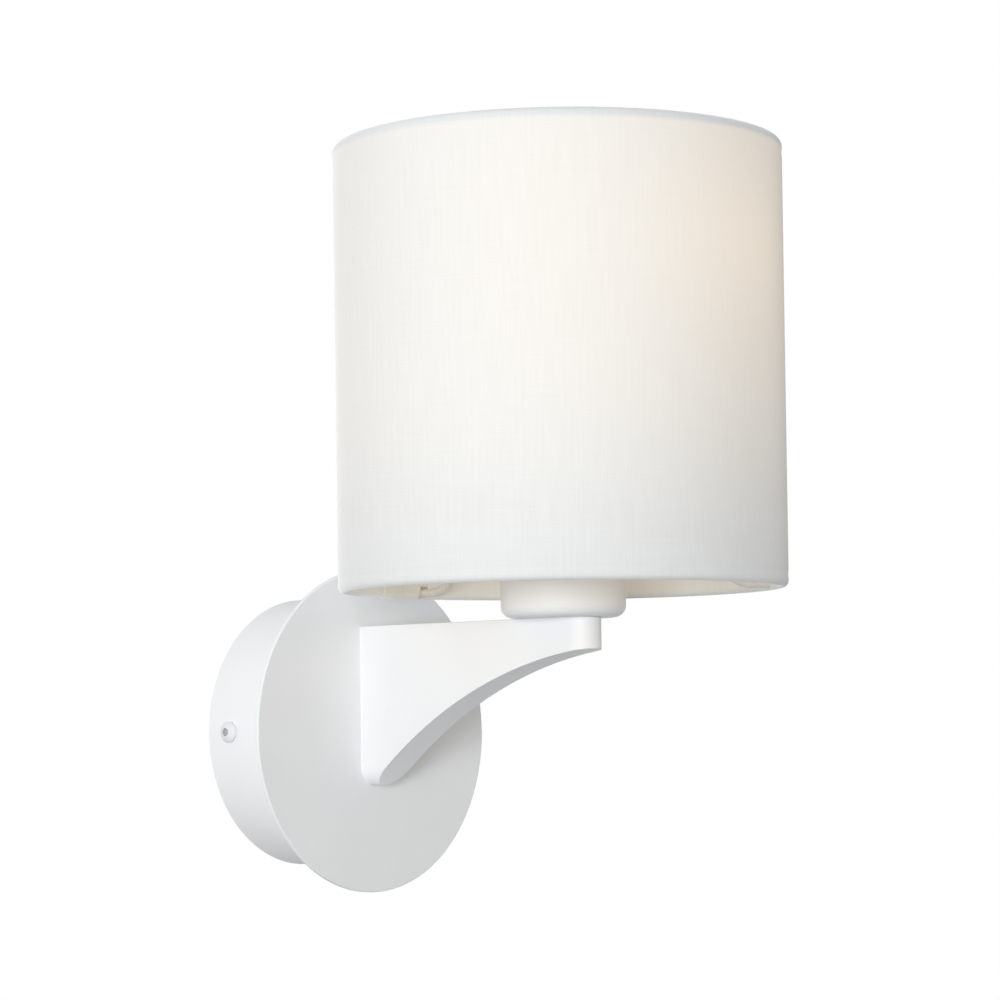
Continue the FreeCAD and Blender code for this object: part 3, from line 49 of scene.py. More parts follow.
lampLine = (0, -121.6, 0)  # the upright axis of lampholder, bulb and shade
lampAxis = Vector(mm(*lampLine))


# Camera, found from the outlines of the shade, the wall cup and the disc

cameraSettings = {
    "place": (-0.867747, -0.874024, -0.00684),
    "turn": -48.049,  # degrees about the upright axis
    "tilt": -4.095,  # it looks up a little
    "roll": -0.785,
    "lens": 124.94,  # mm, on a sensor 36 mm wide
    "sensor": 36,
    "nearest": 0.01,
}


def makeCamera(settings):
    turn, tilt, roll = (math.radians(settings[key]) for key in ("turn", "tilt", "roll"))
    back = Vector((math.sin(turn) * math.cos(tilt), -math.cos(turn) * math.cos(tilt), math.sin(tilt)))
    right = Vector((math.cos(turn), math.sin(turn), 0))
    up = back.cross(right)
    tiltedRight = right * math.cos(roll) + up * math.sin(roll)
    tiltedUp = up * math.cos(roll) - right * math.sin(roll)
    data = bpy.data.cameras.new("photographView")
    data.lens = settings["lens"]
    data.sensor_width = settings["sensor"]
    data.clip_start = settings["nearest"]
    camera = bpy.data.objects.new("photographView", data)
    turned = Matrix((tiltedRight, tiltedUp, back)).transposed().to_4x4()
    camera.matrix_world = Matrix.Translation(settings["place"]) @ turned
    bpy.context.scene.collection.objects.link(camera)
    bpy.context.scene.camera = camera


makeCamera(cameraSettings)
print("camera placed")


# Node trees

mixShare, mixFirst, mixSecond, mixResult = 0, 6, 7, 2  # sockets of a Mix node that mixes colours
cloudRange = {"From Min": 0.25, "From Max": 0.75}  # where nearly all of a cloud pattern's values lie
cloudRoughness = 0.55


def hexColour(code):
    channels = [int(code[place:place + 2], 16) / 255 for place in (1, 3, 5)]
    linear = [c / 12.92 if c <= 0.04045 else ((c + 0.055) / 1.055) ** 2.4 for c in channels]
    return (*linear, 1.0)


def addNode(tree, kind, settings=None, inputs=None):
    # settings are the node's own choices, inputs its numbers, its colours or what is linked to it
    node = tree.nodes.new("ShaderNode" + kind)
    for key, value in (settings or {}).items():
        setattr(node, key, value)
    for key, value in (inputs or {}).items():
        if isinstance(value, bpy.types.NodeSocket):
            tree.links.new(value, node.inputs[key])
        else:
            node.inputs[key].default_value = value
    return node


def startMaterial(name):
    material = bpy.data.materials.new(name)
    material.use_nodes = True
    tree = material.node_tree
    tree.nodes.clear()
    return material, tree, addNode(tree, "TexCoord").outputs["Object"]


def cloudPattern(tree, place, size, detail, stretch=(1, 1, 1)):
    # soft clouds from 0 to 1, size mm wide, longer along an axis whose stretch is under 1
    laid = addNode(tree, "Mapping", None, {"Vector": place, "Scale": stretch}).outputs["Vector"]
    return addNode(tree, "TexNoise", None, {"Vector": laid, "Scale": 1 / mm(size), "Detail": detail,
                                            "Roughness": cloudRoughness}).outputs["Fac"]


def closeMaterial(tree, inputs, height, bump):
    # bump is its strength and its depth in mm
    raised = addNode(tree, "Bump", None, {"Height": height, "Strength": bump[0], "Distance": mm(bump[1])})
    shader = addNode(tree, "BsdfPrincipled", None, {**inputs, "Normal": raised.outputs["Normal"]})
    addNode(tree, "OutputMaterial", None, {"Surface": shader.outputs["BSDF"]})


# The lamp's light in the shade is painted light: a glow painted into the cloth and the liner as emission. It
# is strongest on the side away from the wall, high up where the globe is, and towards the front right, where
# it also stands in for studio light coming through the drum. It fades out over the lower part, which the
# bulb's housing shades, and over the rolled rim, which lets none through. The bulb's light on the hems turned
# down inside is painted as a glow on them too. The globe is the lit bulb, brightest at its top, which the
# light board faces.
lampLight = {
    # painted light: the painted glow is brightest near this place, about 48 mm in front of the lamp's axis
    "middle": mm(7.6, -170, 155),
    "wallDistance": mm(74.5),
    "fallOff": 0.69,
    "shaded": mm(20, 111),  # heights from full shade to full light
    "rimDark": mm(189.5, 191.5),
    "colour": "#FFD38E",
    "linenStrength": 0.139,
    "linerStrength": 0.27,
    "linerColour": "#FFDDA8",
    "hemInside": mm(72.6, 71.6),  # from the drum's wall to its turned hem, off the lamp's axis
    "hemStrength": 0.105,
    "hemColour": "#FFF2D6",
    "globeHeights": mm(134.7, 177.7),
    "globeStrengths": (0.28, 0.46),
    "globeColour": "#FFE3BC",
}


def glowStrength(tree, place, strength):
    light = lampLight
    distance = addNode(tree, "VectorMath", {"operation": "DISTANCE"}, {0: place, 1: light["middle"]})
    nearness = addNode(tree, "Math", {"operation": "DIVIDE"},
                       {0: light["wallDistance"], 1: distance.outputs["Value"]})
    level = addNode(tree, "Math", {"operation": "POWER"}, {0: nearness.outputs[0], 1: light["fallOff"]})
    level = addNode(tree, "Math", {"operation": "MULTIPLY"}, {0: level.outputs[0], 1: strength})
    height = addNode(tree, "SeparateXYZ", None, {"Vector": place}).outputs["Z"]
    for (start, end), (low, high) in ((light["shaded"], (0, 1)), (light["rimDark"], (1, 0))):
        part = addNode(tree, "MapRange", {"interpolation_type": "SMOOTHSTEP"},
                       {"Value": height, "From Min": start, "From Max": end, "To Min": low, "To Max": high})
        level = addNode(tree, "Math", {"operation": "MULTIPLY"}, {0: level.outputs[0], 1: part.outputs[0]})
    return level.outputs[0]


def turnedHem(tree, place):
    # 0 on the drum's wall, 1 on the hems inside it, where the bulb's light on the hems is painted as a glow
    flat = addNode(tree, "VectorMath", {"operation": "MULTIPLY"}, {0: place, 1: (1, 1, 0)})
    offAxis = addNode(tree, "VectorMath", {"operation": "DISTANCE"}, {0: flat.outputs["Vector"], 1: lampAxis})
    wall, hem = lampLight["hemInside"]
    return addNode(tree, "MapRange", {"interpolation_type": "SMOOTHSTEP"},
                   {"Value": offAxis.outputs["Value"], "From Min": wall, "From Max": hem}).outputs["Result"]


def linerGlow(tree, place):
    return {"Emission Color": hexColour(lampLight["linerColour"]),
            "Emission Strength": glowStrength(tree, place, lampLight["linerStrength"])}


def globeGlow(tree, place):
    height = addNode(tree, "SeparateXYZ", None, {"Vector": place}).outputs["Z"]
    (low, high), (weak, strong) = lampLight["globeHeights"], lampLight["globeStrengths"]
    upward = addNode(tree, "MapRange", None, {"Value": height, "From Min": low, "From Max": high,
                                              "To Min": weak, "To Max": strong})
    return {"Emission Color": hexColour(lampLight["globeColour"]),
            "Emission Strength": upward.outputs["Result"]}


# Finishes that are the same all over a piece: two tones in soft clouds, and a fine grain that varies the
# gloss and stands up as a bump. Clouds and grain are written as width in mm, detail and stretch. Real
# moulding grain and tool marks are under 0.1 mm wide; they are drawn wider so that they show.

mouldedSkin = {"clouds": (12, 1), "bump": (0.12, 0.05), "shader": {"IOR": 1.5}}

finishes = {
    # Powder coated steel, sprayed and baked: matt white with a very fine orange peel and no sharp glints
    "powderCoatedSteelWhite": {
        "tones": ("#E7E9EB", "#EFF1F3"), "clouds": (30, 1), "grain": (0.9, 3), "roughness": (0.50, 0.62),
        "bump": (0.12, 0.06), "shader": {"IOR": 1.5, "Specular IOR Level": 0.4}},
    # Coated steel wire, drawn and dipped: a satin white skin, a little thicker here and there
    "coatedWireWhite": {
        "tones": ("#DAD9D5", "#EFEEEA"), "clouds": (2.5, 2), "grain": (2.5, 2), "roughness": (0.35, 0.5),
        "bump": (0.25, 0.1), "shader": {"IOR": 1.5}},
    # Zinc plated steel, rolled and passivated: bluish grey with faint clouds and fine rolling lines
    "zincPlatedSteel": {
        "tones": ("#A9ADB0", "#C9CBCC"), "clouds": (4, 3), "grain": (1.2, 2, (0.06, 1, 1)),
        "roughness": (0.28, 0.45), "bump": (0.15, 0.04), "shader": {"Metallic": 1.0}},
    # Brass, turned or pressed: warm yellow with fine tool lines and a slight tarnish
    "turnedBrass": {
        "tones": ("#B08D45", "#DDBB6D"), "clouds": (3, 3), "grain": (0.6, 1, (1, 1, 6)),
        "roughness": (0.22, 0.4), "bump": (0.1, 0.03), "shader": {"Metallic": 1.0}},
    # Nickel plated aluminium, drawn and rolled: bright grey with faint draw marks
    "nickelPlatedAluminium": {
        "tones": ("#BFC0C1", "#DCDCDB"), "clouds": (5, 2), "grain": (0.8, 2, (1, 1, 0.1)),
        "roughness": (0.2, 0.36), "bump": (0.12, 0.03), "shader": {"Metallic": 1.0}},
    # Polyamide, moulded: ivory and satin, with a faint spark texture
    "mouldedPolyamideIvory": {
        **mouldedSkin, "tones": ("#D5D3C6", "#E2E0D5"), "grain": (0.6, 2), "roughness": (0.3825, 0.5175)},
    # Thermoplastic, moulded: warm white with a slightly glossier skin
    "mouldedThermoplasticWhite": {
        **mouldedSkin, "tones": ("#E6E5E0", "#F1F0EC"), "grain": (0.7, 2), "roughness": (0.323, 0.437)},
    # Bulb housing, moulded round its heat sink: clean satin white
    "mouldedBulbHousingWhite": {
        **mouldedSkin, "tones": ("#E9E8E5", "#F3F2F0"), "grain": (0.5, 2), "roughness": (0.357, 0.483)},
    # Silicone sleeves, extruded: strong even colours with a soft gloss
    "siliconeSleeveBrown": {
        **mouldedSkin, "tones": ("#4B2C17", "#6A4023"), "grain": (0.9, 2), "roughness": (0.425, 0.575)},
    "siliconeSleeveBlue": {
        **mouldedSkin, "tones": ("#1E4E96", "#2F67B5"), "grain": (0.9, 2), "roughness": (0.425, 0.575)},
    # Rubber, moulded: dull black
    "mouldedRubberBlack": {
        **mouldedSkin, "tones": ("#191919", "#262626"), "grain": (0.6, 2), "roughness": (0.595, 0.805)},
    # Solder mask, screen printed on the light board: smooth white
    "solderMaskWhite": {
        **mouldedSkin, "tones": ("#E3E3E0", "#F0F0EE"), "grain": (1.2, 2), "roughness": (0.2975, 0.4025)},
    # Silicone with phosphor, cast over the chips: egg yellow
    "siliconePhosphorYellow": {
        **mouldedSkin, "tones": ("#C99A1E", "#E4BB3B"), "grain": (0.8, 2), "roughness": (0.34, 0.46)},
    # Porcelain, pressed and glazed: cream with a clear gloss
    "glazedPorcelain": {
        **mouldedSkin, "tones": ("#DDD6C6", "#EAE4D6"), "grain": (4, 2), "roughness": (0.119, 0.161)},
    # Glass, melted into the cap: black and shiny
    "meltedGlassBlack": {
        **mouldedSkin, "tones": ("#0D0E12", "#191B20"), "grain": (2, 2), "roughness": (0.102, 0.138)},
    # Styrene sheet, extruded: translucent warm white with faint flow lines; the lamp's light through it is a
    # painted glow
    "extrudedStyreneSheet": {
        "tones": ("#EDE8DC", "#F5F1E8"), "clouds": (2, 2, (1, 1, 0.05)), "grain": (2, 2, (1, 1, 0.05)),
        "bump": (0.1, 0.05), "shader": {"IOR": 1.59, "Roughness": 0.45}, "glow": linerGlow},
    # Opal polycarbonate, blown: milky and lit from inside
    "opalPolycarbonate": {
        "tones": ("#C9C4B8", "#D6D2C8"), "clouds": (6, 2), "grain": (6, 2),
        "bump": (0.05, 0.05), "shader": {"IOR": 1.58, "Roughness": 0.3}, "glow": globeGlow},
}


def makeFinish(name, finish):
    material, tree, place = startMaterial(name)
    clouds = cloudPattern(tree, place, *finish["clouds"])
    grain = cloudPattern(tree, place, *finish["grain"])
    dark, light = (hexColour(tone) for tone in finish["tones"])
    tones = addNode(tree, "Mix", {"data_type": "RGBA"}, {mixShare: clouds, mixFirst: dark, mixSecond: light})
    inputs = {**finish["shader"], "Base Color": tones.outputs[mixResult]}
    if "roughness" in finish:
        low, high = finish["roughness"]
        gloss = addNode(tree, "MapRange", None, {"Value": grain, "To Min": low, "To Max": high, **cloudRange})
        inputs["Roughness"] = gloss.outputs["Result"]
    if "glow" in finish:
        inputs.update(finish["glow"](tree, place))
    closeMaterial(tree, inputs, grain, finish["bump"])
    return material


# Powder coat on the side screws, with the inside of the socket painted steel grey: painted shade in the
# recess.
screwCoat = {"axis": mm(0, -10.1, 0), "paintedSocketShade": mm(1.3, 1.42), "paintedSocketTones": ("#A6A7A9", "#BABBBD"),
             "coat": ("#DBDDDF", "#E4E6E8")}


def makeScrewCoat():
    material, tree, place = startMaterial("powderCoatedScrewWhite")
    skin = finishes["powderCoatedSteelWhite"]
    peel = cloudPattern(tree, place, *skin["grain"])
    flat = addNode(tree, "VectorMath", {"operation": "MULTIPLY"}, {0: place, 1: (0, 1, 1)})
    fromAxis = addNode(tree, "VectorMath", {"operation": "DISTANCE"},
                       {0: flat.outputs["Vector"], 1: screwCoat["axis"]})
    # painted shade: within these radii of the screw's axis the socket is painted darker grey
    paintedSocketShade, coated = screwCoat["paintedSocketShade"]
    share = addNode(tree, "MapRange", {"interpolation_type": "SMOOTHSTEP"},
                    {"Value": fromAxis.outputs["Value"], "From Min": paintedSocketShade, "From Max": coated})
    layers = []
    for dark, light in (screwCoat["paintedSocketTones"], screwCoat["coat"]):
        tones = addNode(tree, "Mix", {"data_type": "RGBA"},
                        {mixShare: peel, mixFirst: hexColour(dark), mixSecond: hexColour(light)})
        layers.append(tones.outputs[mixResult])
    colour = addNode(tree, "Mix", {"data_type": "RGBA"},
                     {mixShare: share.outputs["Result"], mixFirst: layers[0], mixSecond: layers[1]})
    low, high = skin["roughness"]
    gloss = addNode(tree, "MapRange", None, {"Value": peel, "To Min": low, "To Max": high, **cloudRange})
    closeMaterial(tree, {**skin["shader"], "Base Color": colour.outputs[mixResult],
                         "Roughness": gloss.outputs["Result"]}, peel, skin["bump"])
    return material


# Earth lead's silicone sleeve, extruded in two colours: green with yellow stripes along it.
earthSleeve = {"green": "#2F8A3A", "yellow": "#E3C728", "stripeHalf": 0.42, "grain": (0.9, 2),
               "bump": (0.1, 0.05), "shader": {"IOR": 1.45, "Roughness": 0.5}}


def makeEarthSleeve():
    material, tree, place = startMaterial("siliconeSleeveGreenYellow")
    s = earthSleeve
    normal = addNode(tree, "NewGeometry").outputs["Normal"]
    across = addNode(tree, "SeparateXYZ", None, {"Vector": normal}).outputs["Y"]
    offMiddle = addNode(tree, "Math", {"operation": "ABSOLUTE"}, {0: across}).outputs[0]
    stripe = addNode(tree, "Math", {"operation": "LESS_THAN"}, {0: offMiddle, 1: s["stripeHalf"]}).outputs[0]
    colour = addNode(tree, "Mix", {"data_type": "RGBA"},
                     {mixShare: stripe, mixFirst: hexColour(s["green"]), mixSecond: hexColour(s["yellow"])})
    closeMaterial(tree, {**s["shader"], "Base Color": colour.outputs[mixResult]},
                  cloudPattern(tree, place, *s["grain"]), s["bump"])
    return material


# Linen, plain woven from slub yarn: white, dull, with upright threads just visible, some of them thicker
# here and there. Real threads are 0.6 mm apart; they are drawn 1.1 mm apart so that they show.
linen = {
    "pitch": mm(1.1),
    "tones": ("#DADDDE", "#E0E3E4"),
    "slubWidth": 1.1,  # mm
    "slubLength": 22,
    "warpShare": 0.8,  # upright threads
    "weftShare": 0.3,  # threads round the drum
    "knotShare": 0.2,
    "wanderWidth": mm(20),
    "wander": mm(1.1, 1.1, 0),
    "thinnest": 1.03,  # how much of the lamp's light a thin and a thick place let through
    "thickest": 0.97,
    "bump": (0.3, 0.12),
    "shader": {"IOR": 1.5, "Roughness": 0.9, "Specular IOR Level": 0.15, "Sheen Weight": 0.6,
               "Sheen Roughness": 0.5},
}


def makeLinen():
    material, tree, place = startMaterial("linenPlainWoven")
    s = linen
    cloth = addNode(tree, "UVMap", {"uv_map": "clothMap"}).outputs["UV"]
    wander = addNode(tree, "TexNoise", None, {"Vector": cloth, "Scale": 1 / s["wanderWidth"], "Detail": 2})
    shift = addNode(tree, "VectorMath", {"operation": "MULTIPLY"},
                    {0: wander.outputs["Color"], 1: s["wander"]})
    laid = addNode(tree, "VectorMath", {"operation": "ADD"}, {0: cloth, 1: shift.outputs["Vector"]})
    split = addNode(tree, "SeparateXYZ", None, {"Vector": laid.outputs["Vector"]})
    waves = []
    for direction in ("X", "Y"):
        turns = addNode(tree, "Math", {"operation": "MULTIPLY"},
                        {0: split.outputs[direction], 1: fullTurn / s["pitch"]})
        waves.append(addNode(tree, "Math", {"operation": "SINE"}, {0: turns.outputs[0]}).outputs[0])
    crossed = addNode(tree, "Math", {"operation": "ADD"}, {0: waves[0], 1: waves[1]})
    height = addNode(tree, "Math", {"operation": "MULTIPLY"}, {0: crossed.outputs[0], 1: s["knotShare"] / 4})
    slender = s["slubWidth"] / s["slubLength"]
    for share, stretch in ((s["warpShare"], (1, slender, 1)), (s["weftShare"], (slender, 1, 1))):
        slubs = cloudPattern(tree, cloth, s["slubWidth"], 2, stretch)
        height = addNode(tree, "Math", {"operation": "MULTIPLY_ADD"},
                         {0: slubs, 1: share, 2: height.outputs[0]})
    height = height.outputs[0]
    raised = addNode(tree, "MapRange", None, {"Value": height, **cloudRange}).outputs["Result"]
    dark, light = (hexColour(tone) for tone in s["tones"])
    colour = addNode(tree, "Mix", {"data_type": "RGBA"}, {mixShare: raised, mixFirst: dark, mixSecond: light})
    # painted light: the lamp's glow through the cloth, a little stronger where the cloth is thin, plus a
    # painted glow on the hems inside
    thin = addNode(tree, "MapRange", None, {"Value": height, "To Min": s["thinnest"], "To Max": s["thickest"],
                                            **cloudRange}).outputs["Result"]
    through = addNode(tree, "Math", {"operation": "MULTIPLY"},
                      {0: glowStrength(tree, place, lampLight["linenStrength"]), 1: thin}).outputs[0]
    hem = turnedHem(tree, place)
    glow = addNode(tree, "Math", {"operation": "MULTIPLY_ADD"},
                   {0: hem, 1: lampLight["hemStrength"], 2: through})
    glowColour = addNode(tree, "Mix", {"data_type": "RGBA"},
                         {mixShare: hem, mixFirst: hexColour(lampLight["colour"]),
                          mixSecond: hexColour(lampLight["hemColour"])})
    closeMaterial(tree, {**s["shader"], "Base Color": colour.outputs[mixResult],
                         "Emission Strength": glow.outputs[0],
                         "Emission Color": glowColour.outputs[mixResult]}, height, s["bump"])
    return material


materials = {name: makeFinish(name, finish) for name, finish in finishes.items()}
for special in (makeScrewCoat(), makeEarthSleeve(), makeLinen()):
    materials[special.name] = special
print("materials made:", len(materials))


# CAD pieces whose shape is right keep it and get their finish here.

nodeFinishes = {
    "powderCoatedSteelWhite": ("canopy", "front_disc", "arm", "holder_cup"),
    "coatedWireWhite": ("bottom_wire_ring", "top_wire_ring", "fitter_ring", "spider_arms"),
    "zincPlatedSteel": ("wall_bracket", "earth_washer", "terminal_screws", "terminal_block_screw",
                        "arm_screw_washers", "toothed_washer"),
    "turnedBrass": ("terminal_tubes", "holder_terminal_screws", "centre_contact"),
    "nickelPlatedAluminium": ("bulb_tip_contact", "earth_tag"),
    "mouldedPolyamideIvory": ("terminal_block",),
    "mouldedThermoplasticWhite": ("holder_dome",),
    "mouldedBulbHousingWhite": ("bulb_housing",),
    "mouldedRubberBlack": ("wire_grommet",),
    "glazedPorcelain": ("holder_insert",),
    "meltedGlassBlack": ("bulb_cap_insulator",),
    "solderMaskWhite": ("light_board",),
    "siliconePhosphorYellow": ("light_chips",),
    "siliconeSleeveBrown": ("line_lead",),
    "siliconeSleeveBlue": ("neutral_lead",),
    "siliconeSleeveGreenYellow": ("earth_lead",),
    "extrudedStyreneSheet": ("shade_liner",),
    "opalPolycarbonate": ("bulb_globe",),
}


def dress(piece, finish):
    piece.data.materials.clear()
    piece.data.materials.append(materials[finish])


for finish, names in nodeFinishes.items():
    for name in names:
        dress(nodes[name], finish)
print("CAD pieces dressed")


# Making meshes

smoothUpTo = 38  # degrees; faces that meet at more keep a sharp edge


def keepPiece(name, mesh, finish, body, slot, *replaced):
    piece = bpy.data.objects.new(name, mesh)
    bpy.context.scene.collection.objects.link(piece)
    dress(piece, finish)
    for face in mesh.polygons:
        face.use_smooth = True
    mesh.set_sharp_from_angle(angle=math.radians(smoothUpTo))
    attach(piece, body)
    if replaced:
        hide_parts(*replaced)
    return piece


def meshFrom(name, points, faces):
    mesh = bpy.data.meshes.new(name)
    mesh.from_pydata(points, [], faces)
    shell = bmesh.new()
    shell.from_mesh(mesh)
    bmesh.ops.recalc_face_normals(shell, faces=shell.faces)
    shell.to_mesh(mesh)
    shell.free()
    mesh.update()
    return mesh


def spun(rings, segments, place, joined=False):
    # Each ring is a function of the angle that gives a radius and a height in mm, or one number, the
    # height at which the piece closes on its axis. joined ties the last ring back to the first.
    points, faces, starts = [], [], []
    for ring in rings:
        starts.append(len(points))
        if isinstance(ring, (int, float)):
            points.append(place @ Vector((0, 0, mm(ring))))
            continue
        for step in range(segments):
            angle = fullTurn * step / segments
            radius, height = ring(angle)
            points.append(place @ Vector(mm(radius * math.cos(angle), radius * math.sin(angle), height)))
    pairs = list(zip(range(len(rings) - 1), range(1, len(rings))))
    if joined:
        pairs.append((len(rings) - 1, 0))
    for low, high in pairs:
        a, b = starts[low], starts[high]
        for step in range(segments):
            after = (step + 1) % segments
            if isinstance(rings[low], (int, float)):
                faces.append((a, b + step, b + after))
            elif isinstance(rings[high], (int, float)):
                faces.append((a + step, a + after, b))
            else:
                faces.append((a + step, a + after, b + after, b + step))
    return points, faces


def plain(radius, height):
    return lambda angle: (radius, height)


def hexRing(flats, height):
    def ring(angle):
        inside = (angle % (math.pi / 3)) - math.pi / 6
        return flats / 2 / math.cos(inside), height
    return ring


sharpFlank = {"height": 1.7, "slope": 5.4}  # crest a quarter of the pitch wide, root over a third of it


def threadRings(crest, depth, pitch, low, high, kind, rows=10, runOut=0.6):
    # Rings of a screw thread from low to high, rows of them to a turn. The thread fades in and out over
    # runOut turns. A sharp one has straight flanks between a flat crest and a flat root.
    def ring(height):
        fade = min(1.0, (height - low) / (runOut * pitch), (high - height) / (runOut * pitch))

        def shape(angle):
            phase = (height / pitch - angle / fullTurn) % 1.0
            if kind == "round":
                share = 0.5 + 0.5 * math.cos(fullTurn * phase)
            else:
                flank = sharpFlank["height"] - sharpFlank["slope"] * abs(phase - 0.5)
                share = min(1.0, max(0.0, flank))
            return crest - depth * (1 - share * max(fade, 0.0)), height
        return shape
    count = max(2, round((high - low) / pitch * rows))
    return [ring(low + (high - low) * step / count) for step in range(count + 1)]


def standing(x, y, z, axis="Z"):
    # a local upright axis laid along one of the light's own axes
    turns = {"Z": Matrix.Identity(4), "-X": Matrix.Rotation(-math.pi / 2, 4, "Y"),
             "X": Matrix.Rotation(math.pi / 2, 4, "Y"), "Y": Matrix.Rotation(-math.pi / 2, 4, "X"),
             "-Y": Matrix.Rotation(math.pi / 2, 4, "X")}
    return Matrix.Translation(mm(x, y, z)) @ turns[axis]


def joinParts(parts):
    points, faces = [], []
    for partPoints, partFaces in parts:
        first = len(points)
        points += partPoints
        faces += [tuple(first + corner for corner in face) for face in partFaces]
    return points, faces


onLamp = standing(*lampLine)

# Button head screws with a hexagon socket and an M4 thread

buttonScrew = {
    "head": 3.6, "edge": 0.77, "edgeBreak": 0.08, "top": 2.2, "underCut": 0.12,
    "crownSteps": (1.75, 2.1, 2.5, 2.9, 3.2, 3.45),  # radii of the rings over the dome
    "flats": 2.5, "socket": 1.3, "drillPoint": 0.35, "floorShare": 0.8, "floorRise": 0.1,
    "mouth": 0.2, "mouthRadii": (1.4, 1.5), "mouthDepth": 0.12,  # chamfer where the key goes in
    "shank": 1.95, "neck": 0.05, "threadStart": 0.2, "pitch": 0.7, "threadDepth": 0.4,
    "point": 0.35, "pointIn": 0.1, "rows": 8, "segments": 48,
}


def buttonHeadScrew(length, place):
    s = buttonScrew
    crownRadius = (s["head"] ** 2 + (s["top"] - s["edge"]) ** 2) / (2 * (s["top"] - s["edge"]))

    def crown(radius):
        return s["top"] - crownRadius + math.sqrt(crownRadius ** 2 - radius ** 2)

    floor = s["top"] - s["socket"]
    mouthIn, mouthOut = s["mouthRadii"]
    rings = [floor - s["drillPoint"], hexRing(s["flats"] * s["floorShare"], floor),
             hexRing(s["flats"], floor + s["floorRise"]),
             hexRing(s["flats"], crown(mouthIn) - s["mouthDepth"]),
             hexRing(s["flats"] + s["mouth"], crown(mouthOut))]
    rings += [plain(radius, crown(radius)) for radius in s["crownSteps"]]
    rings += [plain(s["head"], s["edge"] - s["edgeBreak"]), plain(s["head"], s["underCut"]),
              plain(s["head"] - s["underCut"], 0), plain(s["shank"], 0), plain(s["shank"], -s["neck"])]
    rings += reversed(threadRings(s["shank"], s["threadDepth"], s["pitch"], -length + s["point"],
                                  -s["threadStart"], "sharp", s["rows"]))
    rings += [plain(s["shank"] - s["threadDepth"] - s["pointIn"], -length), -length]
    return spun(rings, s["segments"], place)


screwSets = {
    "sideScrews": ("canopy_side_screws", "powderCoatedScrewWhite", "white_paint",
                   [(7, standing(-46.55, -10.1, 0, "-X")), (7, standing(46.55, -10.1, 0, "X"))]),
    "armScrews": ("arm_screws", "zincPlatedSteel", "zinc_steel",
                  [(9.5, standing(0, -29.5, 18, "Y")), (9.5, standing(0, -30.3, -8, "Y"))]),
    "earthScrew": ("earth_screw", "turnedBrass", "brass", [(2.8, standing(16, -2.9, 0, "-Y"))]),
}
for name, (node, finish, slot, seats) in screwSets.items():
    parts = [buttonHeadScrew(length, place) for length, place in seats]
    keepPiece(name, meshFrom(name, *joinParts(parts)), finish, "fixture", slot, node)
print("screws made")

# Hollow nipple and its lock nut, M10 x 1

nipple = {"crest": 4.95, "bore": 3.5, "low": 31.3, "high": 48.9, "pitch": 1.0, "depth": 0.5, "chamfer": 0.3,
          "segments": 72}


def makeNipple():
    n = nipple
    cut, root = n["chamfer"], n["crest"] - n["depth"]
    rings = [plain(n["bore"] + cut, n["low"]), plain(root, n["low"])]
    rings += threadRings(n["crest"], n["depth"], n["pitch"], n["low"] + cut, n["high"] - cut, "sharp")
    rings += [plain(root, n["high"]), plain(n["bore"] + cut, n["high"]),
              plain(n["bore"], n["high"] - cut), plain(n["bore"], n["low"] + cut)]
    mesh = meshFrom("nippleThreaded", *spun(rings, n["segments"], onLamp, True))
    keepPiece("nippleThreaded", mesh, "zincPlatedSteel", "fixture", "zinc_steel", "hollow_nipple")


lockNut = {
    "flats": 14.0, "low": 37.6, "high": 40.6, "chamfer": 0.6,
    "cuts": (1.3, 0.5),  # how far its corners are turned off, in two steps
    "bore": 5.0, "boreMouth": 0.4, "depth": 0.45, "pitch": 1.0, "threadInset": 0.2, "rows": 8,
    "runOut": 0.3, "segments": 72,
}


def makeLockNut():
    n = lockNut
    corner = n["flats"] / 2 / math.cos(math.pi / 6)

    def faced(height, cut):
        def ring(angle):
            radius = hexRing(n["flats"], height)(angle)[0]
            return min(radius, corner - cut), height
        return ring
    low, high, rise, (face, step) = n["low"], n["high"], n["chamfer"], n["cuts"]
    mouth, inset = n["bore"] + n["boreMouth"], n["threadInset"]
    rings = [plain(mouth, low), faced(low, face), faced(low + rise / 2, step), faced(low + rise, 0),
             faced(high - rise, 0), faced(high - rise / 2, step), faced(high, face), plain(mouth, high)]
    rings += reversed(threadRings(n["bore"] + n["depth"], n["depth"], n["pitch"], low + inset, high - inset,
                                  "sharp", n["rows"], n["runOut"]))
    mesh = meshFrom("lockNut", *spun(rings, n["segments"], onLamp, True))
    keepPiece("lockNut", mesh, "turnedBrass", "fixture", "brass", "nipple_lock_nut")


makeNipple()
makeLockNut()
print("nipple and lock nut made")

# Lampholder skirt with the coarse thread that the shade rings run on

skirt = {
    "crest": 19.6, "depth": 0.9, "pitch": 2.5, "low": 60.6, "high": 92.0, "threadStart": 0.4,
    "threadStop": 1.6, "noseStart": 1.0, "noseIn": 0.6, "bore": 17.0, "lipBore": 14.3, "lipLow": 88.0,
    "chamfer": 0.7, "rows": 12, "segments": 120,
}


def makeSkirt():
    s = skirt
    low, high, root = s["low"], s["high"], s["crest"] - s["depth"]
    rings = [plain(s["bore"], low), plain(root, low)]
    rings += threadRings(s["crest"], s["depth"], s["pitch"], low + s["threadStart"], high - s["threadStop"],
                         "sharp", s["rows"])
    rings += [plain(root, high - s["noseStart"]), plain(root - s["noseIn"], high),
              plain(s["lipBore"] + s["chamfer"], high), plain(s["lipBore"], high - s["chamfer"]),
              plain(s["lipBore"], s["lipLow"]), plain(s["bore"], s["lipLow"])]
    mesh = meshFrom("holderSkirtThreaded", *spun(rings, s["segments"], onLamp, True))
    keepPiece("holderSkirtThreaded", mesh, "mouldedThermoplasticWhite", "fixture", "white_thermoplastic",
              "holder_skirt")


